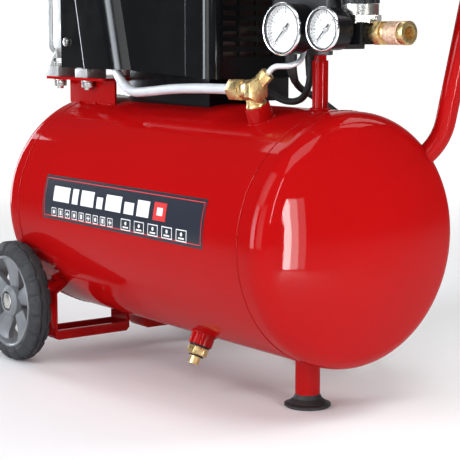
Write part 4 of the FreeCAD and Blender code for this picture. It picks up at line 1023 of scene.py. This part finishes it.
def make_cover_shell():
    """The thin cover, with a sunk panel on each side, open below and where the hood meets it."""
    corners = [(COVER_X0, -COVER_HALF, 0), (PANEL_X0 - 2, -COVER_HALF, 0), (PANEL_X0, -PANEL_HALF, 0),
               (PANEL_X1, -PANEL_HALF, 0.8), (PANEL_X1 + 2.5, -COVER_HALF, 1.6),
               (COVER_X1, -COVER_HALF, END_CORNER_R), (COVER_X1, -COVER_HALF + END_CORNER_R + 0.01, 0)]
    bm = bmesh.new()
    cover_sides(bm, rounded(corners, steps=7, run=14.0))
    cover_end(bm)
    bmesh.ops.remove_doubles(bm, verts=bm.verts, dist=2e-5)
    shell = piece("cover_shell", bm, ["cover"], "frame", sharp=38, replaces=["motor_cover"])
    sharpen_rims(shell.data)
    thick = shell.modifiers.new("wall", "SOLIDIFY")
    thick.thickness = WALL * MM
    thick.offset = -1.0


def make_cover_swells():
    """The raised swell on each side, which leans back and fades into the wall near its top."""
    bm = bmesh.new()
    for sign in (-1, 1):
        rows = []
        for s in range(SWELL_STEPS + 1):
            share = s / SWELL_STEPS
            z = SWELL_BOTTOM + (SWELL_TOP - SWELL_BOTTOM) * share
            left, right = (lean * (z - SWELL_UPRIGHT_Z) for lean in (SWELL_LEAN_LEFT, SWELL_LEAN_RIGHT))
            fade = max(0.0, (share - SWELL_FADE_FROM) / (1 - SWELL_FADE_FROM))
            full = SWELL_HALF - (SWELL_HALF - SWELL_FADED_HALF) * fade ** 1.6
            swell = rounded([(-164 - left, -58.2, 0), (-159.5 - left, -60.2, 3), (-152 - left, -full, 8),
                             (-88 - right, -full, 36), (-70.5 - right, -56.2, 0)], steps=10, run=200)
            rows.append([bm.verts.new(at(p.x, p.y * -sign, z)) for p in swell])
        grid_faces(bm, rows)
        for row in (rows[0], rows[-1]):
            bm.faces.new(row)
    piece("cover_swells", bm, ["cover"], "frame", sharp=50)


def upright(x, half, low, high):
    """The corners of an upright rectangle across the tank."""
    return [at(x, y, z) for y, z in ((-half, low), (half, low), (half, high), (-half, high))]


def make_cover():
    """The shell with its swells, the hood at its high end, and a dark brown sheet behind the vent slots:
    painted shade for the cover's dark inside.
    """
    make_cover_shell()
    make_cover_swells()
    bm = bmesh.new()
    slab(bm, upright(HOOD_X0, 60, 262, 346), Vector((COVER_X0 - HOOD_X0 - 0.1, 0, 0)) * MM, bevel=6.0)
    piece("cover_hood", bm, ["cover"], "frame", sharp=50)
    # A dark brown sheet just behind the vent slots: painted shade that stands for the shaded inside of the
    # cover.
    bm = bmesh.new()
    slab(bm, upright(66, 45, 166, 248), Vector((2, 0, 0)) * MM, bevel=0.4)
    piece("vent_shade_sheet", bm, ["vent"], "frame")


# ---------------------------------------------------------------- softened copies

def make_softened():
    """Copies of the CAD nodes whose edges show most, with narrow bevels."""
    for name, key, slot, width in (
            ("pump_bracket", "red", "red_paint", 0.7), ("wheel_bracket_left", "red", "red_paint", 0.6),
            ("wheel_bracket_right", "red", "red_paint", 0.6), ("crankcase", "cast", "cast_aluminium", 1.1),
            ("crankcase_cover", "cast", "cast_aluminium", 0.8), ("check_valve", "brass", "brass", 0.7),
            ("drain_body", "brass", "brass", 0.5), ("drain_screw", "brass", "brass", 0.4),
            ("coupler_body", "brass", "brass", 0.5), ("switch_base", "plastic", "black_plastic", 0.8),
            ("mount_bolts", "zinc", "zinc_steel", 0.5), ("axle_fasteners", "zinc", "zinc_steel", 0.5),
            ("cover_screws", "zinc", "zinc_steel", 0.6), ("motor_cradle", "black", "black_paint", 1.0)):
        body = "drain_handle" if name == "drain_screw" else "frame"
        refined(name, key, body, width)


# ---------------------------------------------------------------- stage

FLOOR_REACH = 30.0


def make_stage():
    """A wide paper floor, lit from itself far behind the object so that it meets the backdrop."""
    bm = bmesh.new()
    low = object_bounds()[0].z - 0.0002
    bm.faces.new([bm.verts.new((x * FLOOR_REACH, y * FLOOR_REACH, low))
                  for x, y in ((-1, -1), (1, -1), (1, 1), (-1, 1))])
    mesh = bpy.data.meshes.new("floor")
    bm.to_mesh(mesh)
    bm.free()
    floor = bpy.data.objects.new("floor", mesh)
    bpy.context.scene.collection.objects.link(floor)
    paint = Paint("floor_paper", (0.86, 0.86, 0.86), 0.95)
    paint.tint(paint.noise(3, 2), (0.84, 0.84, 0.84), 0.5)
    paint.set("Specular IOR Level", 0.1)
    paint.set("Emission Color", (1.0, 1.0, 1.0, 1.0))
    far = paint.vector_math("LENGTH", paint.place)
    way = paint.vector_math("NORMALIZE", paint.place)
    behind = paint.vector_math("DOT_PRODUCT", way.outputs["Vector"], BEHIND)
    both = paint.add("ShaderNodeMath")
    both.operation = "MULTIPLY"
    paint.link(paint.ranged(far.outputs["Value"], 0.0, 0.95, 0.30, 2.4), both.inputs[0])
    paint.link(paint.ranged(behind.outputs["Value"], 0.0, 1.0, 0.80, 0.96), both.inputs[1])
    paint.link(both.outputs["Value"], paint.shader.inputs["Emission Strength"])
    mesh.materials.append(paint.made)


make_camera()
make_cords()
paint_nodes()
for side_name, side_sign in (("left", -1), ("right", 1)):
    make_tyre(side_name, side_sign)
    make_rim(side_name, side_sign)
for gauge_name, gauge_spec in GAUGES.items():
    make_gauge(gauge_name, gauge_spec)
two_finish("regulator_body", "zinc", 206.8)
make_cover()
make_softened()
make_label()
make_welds()
make_stage()
make_world()
make_lights()
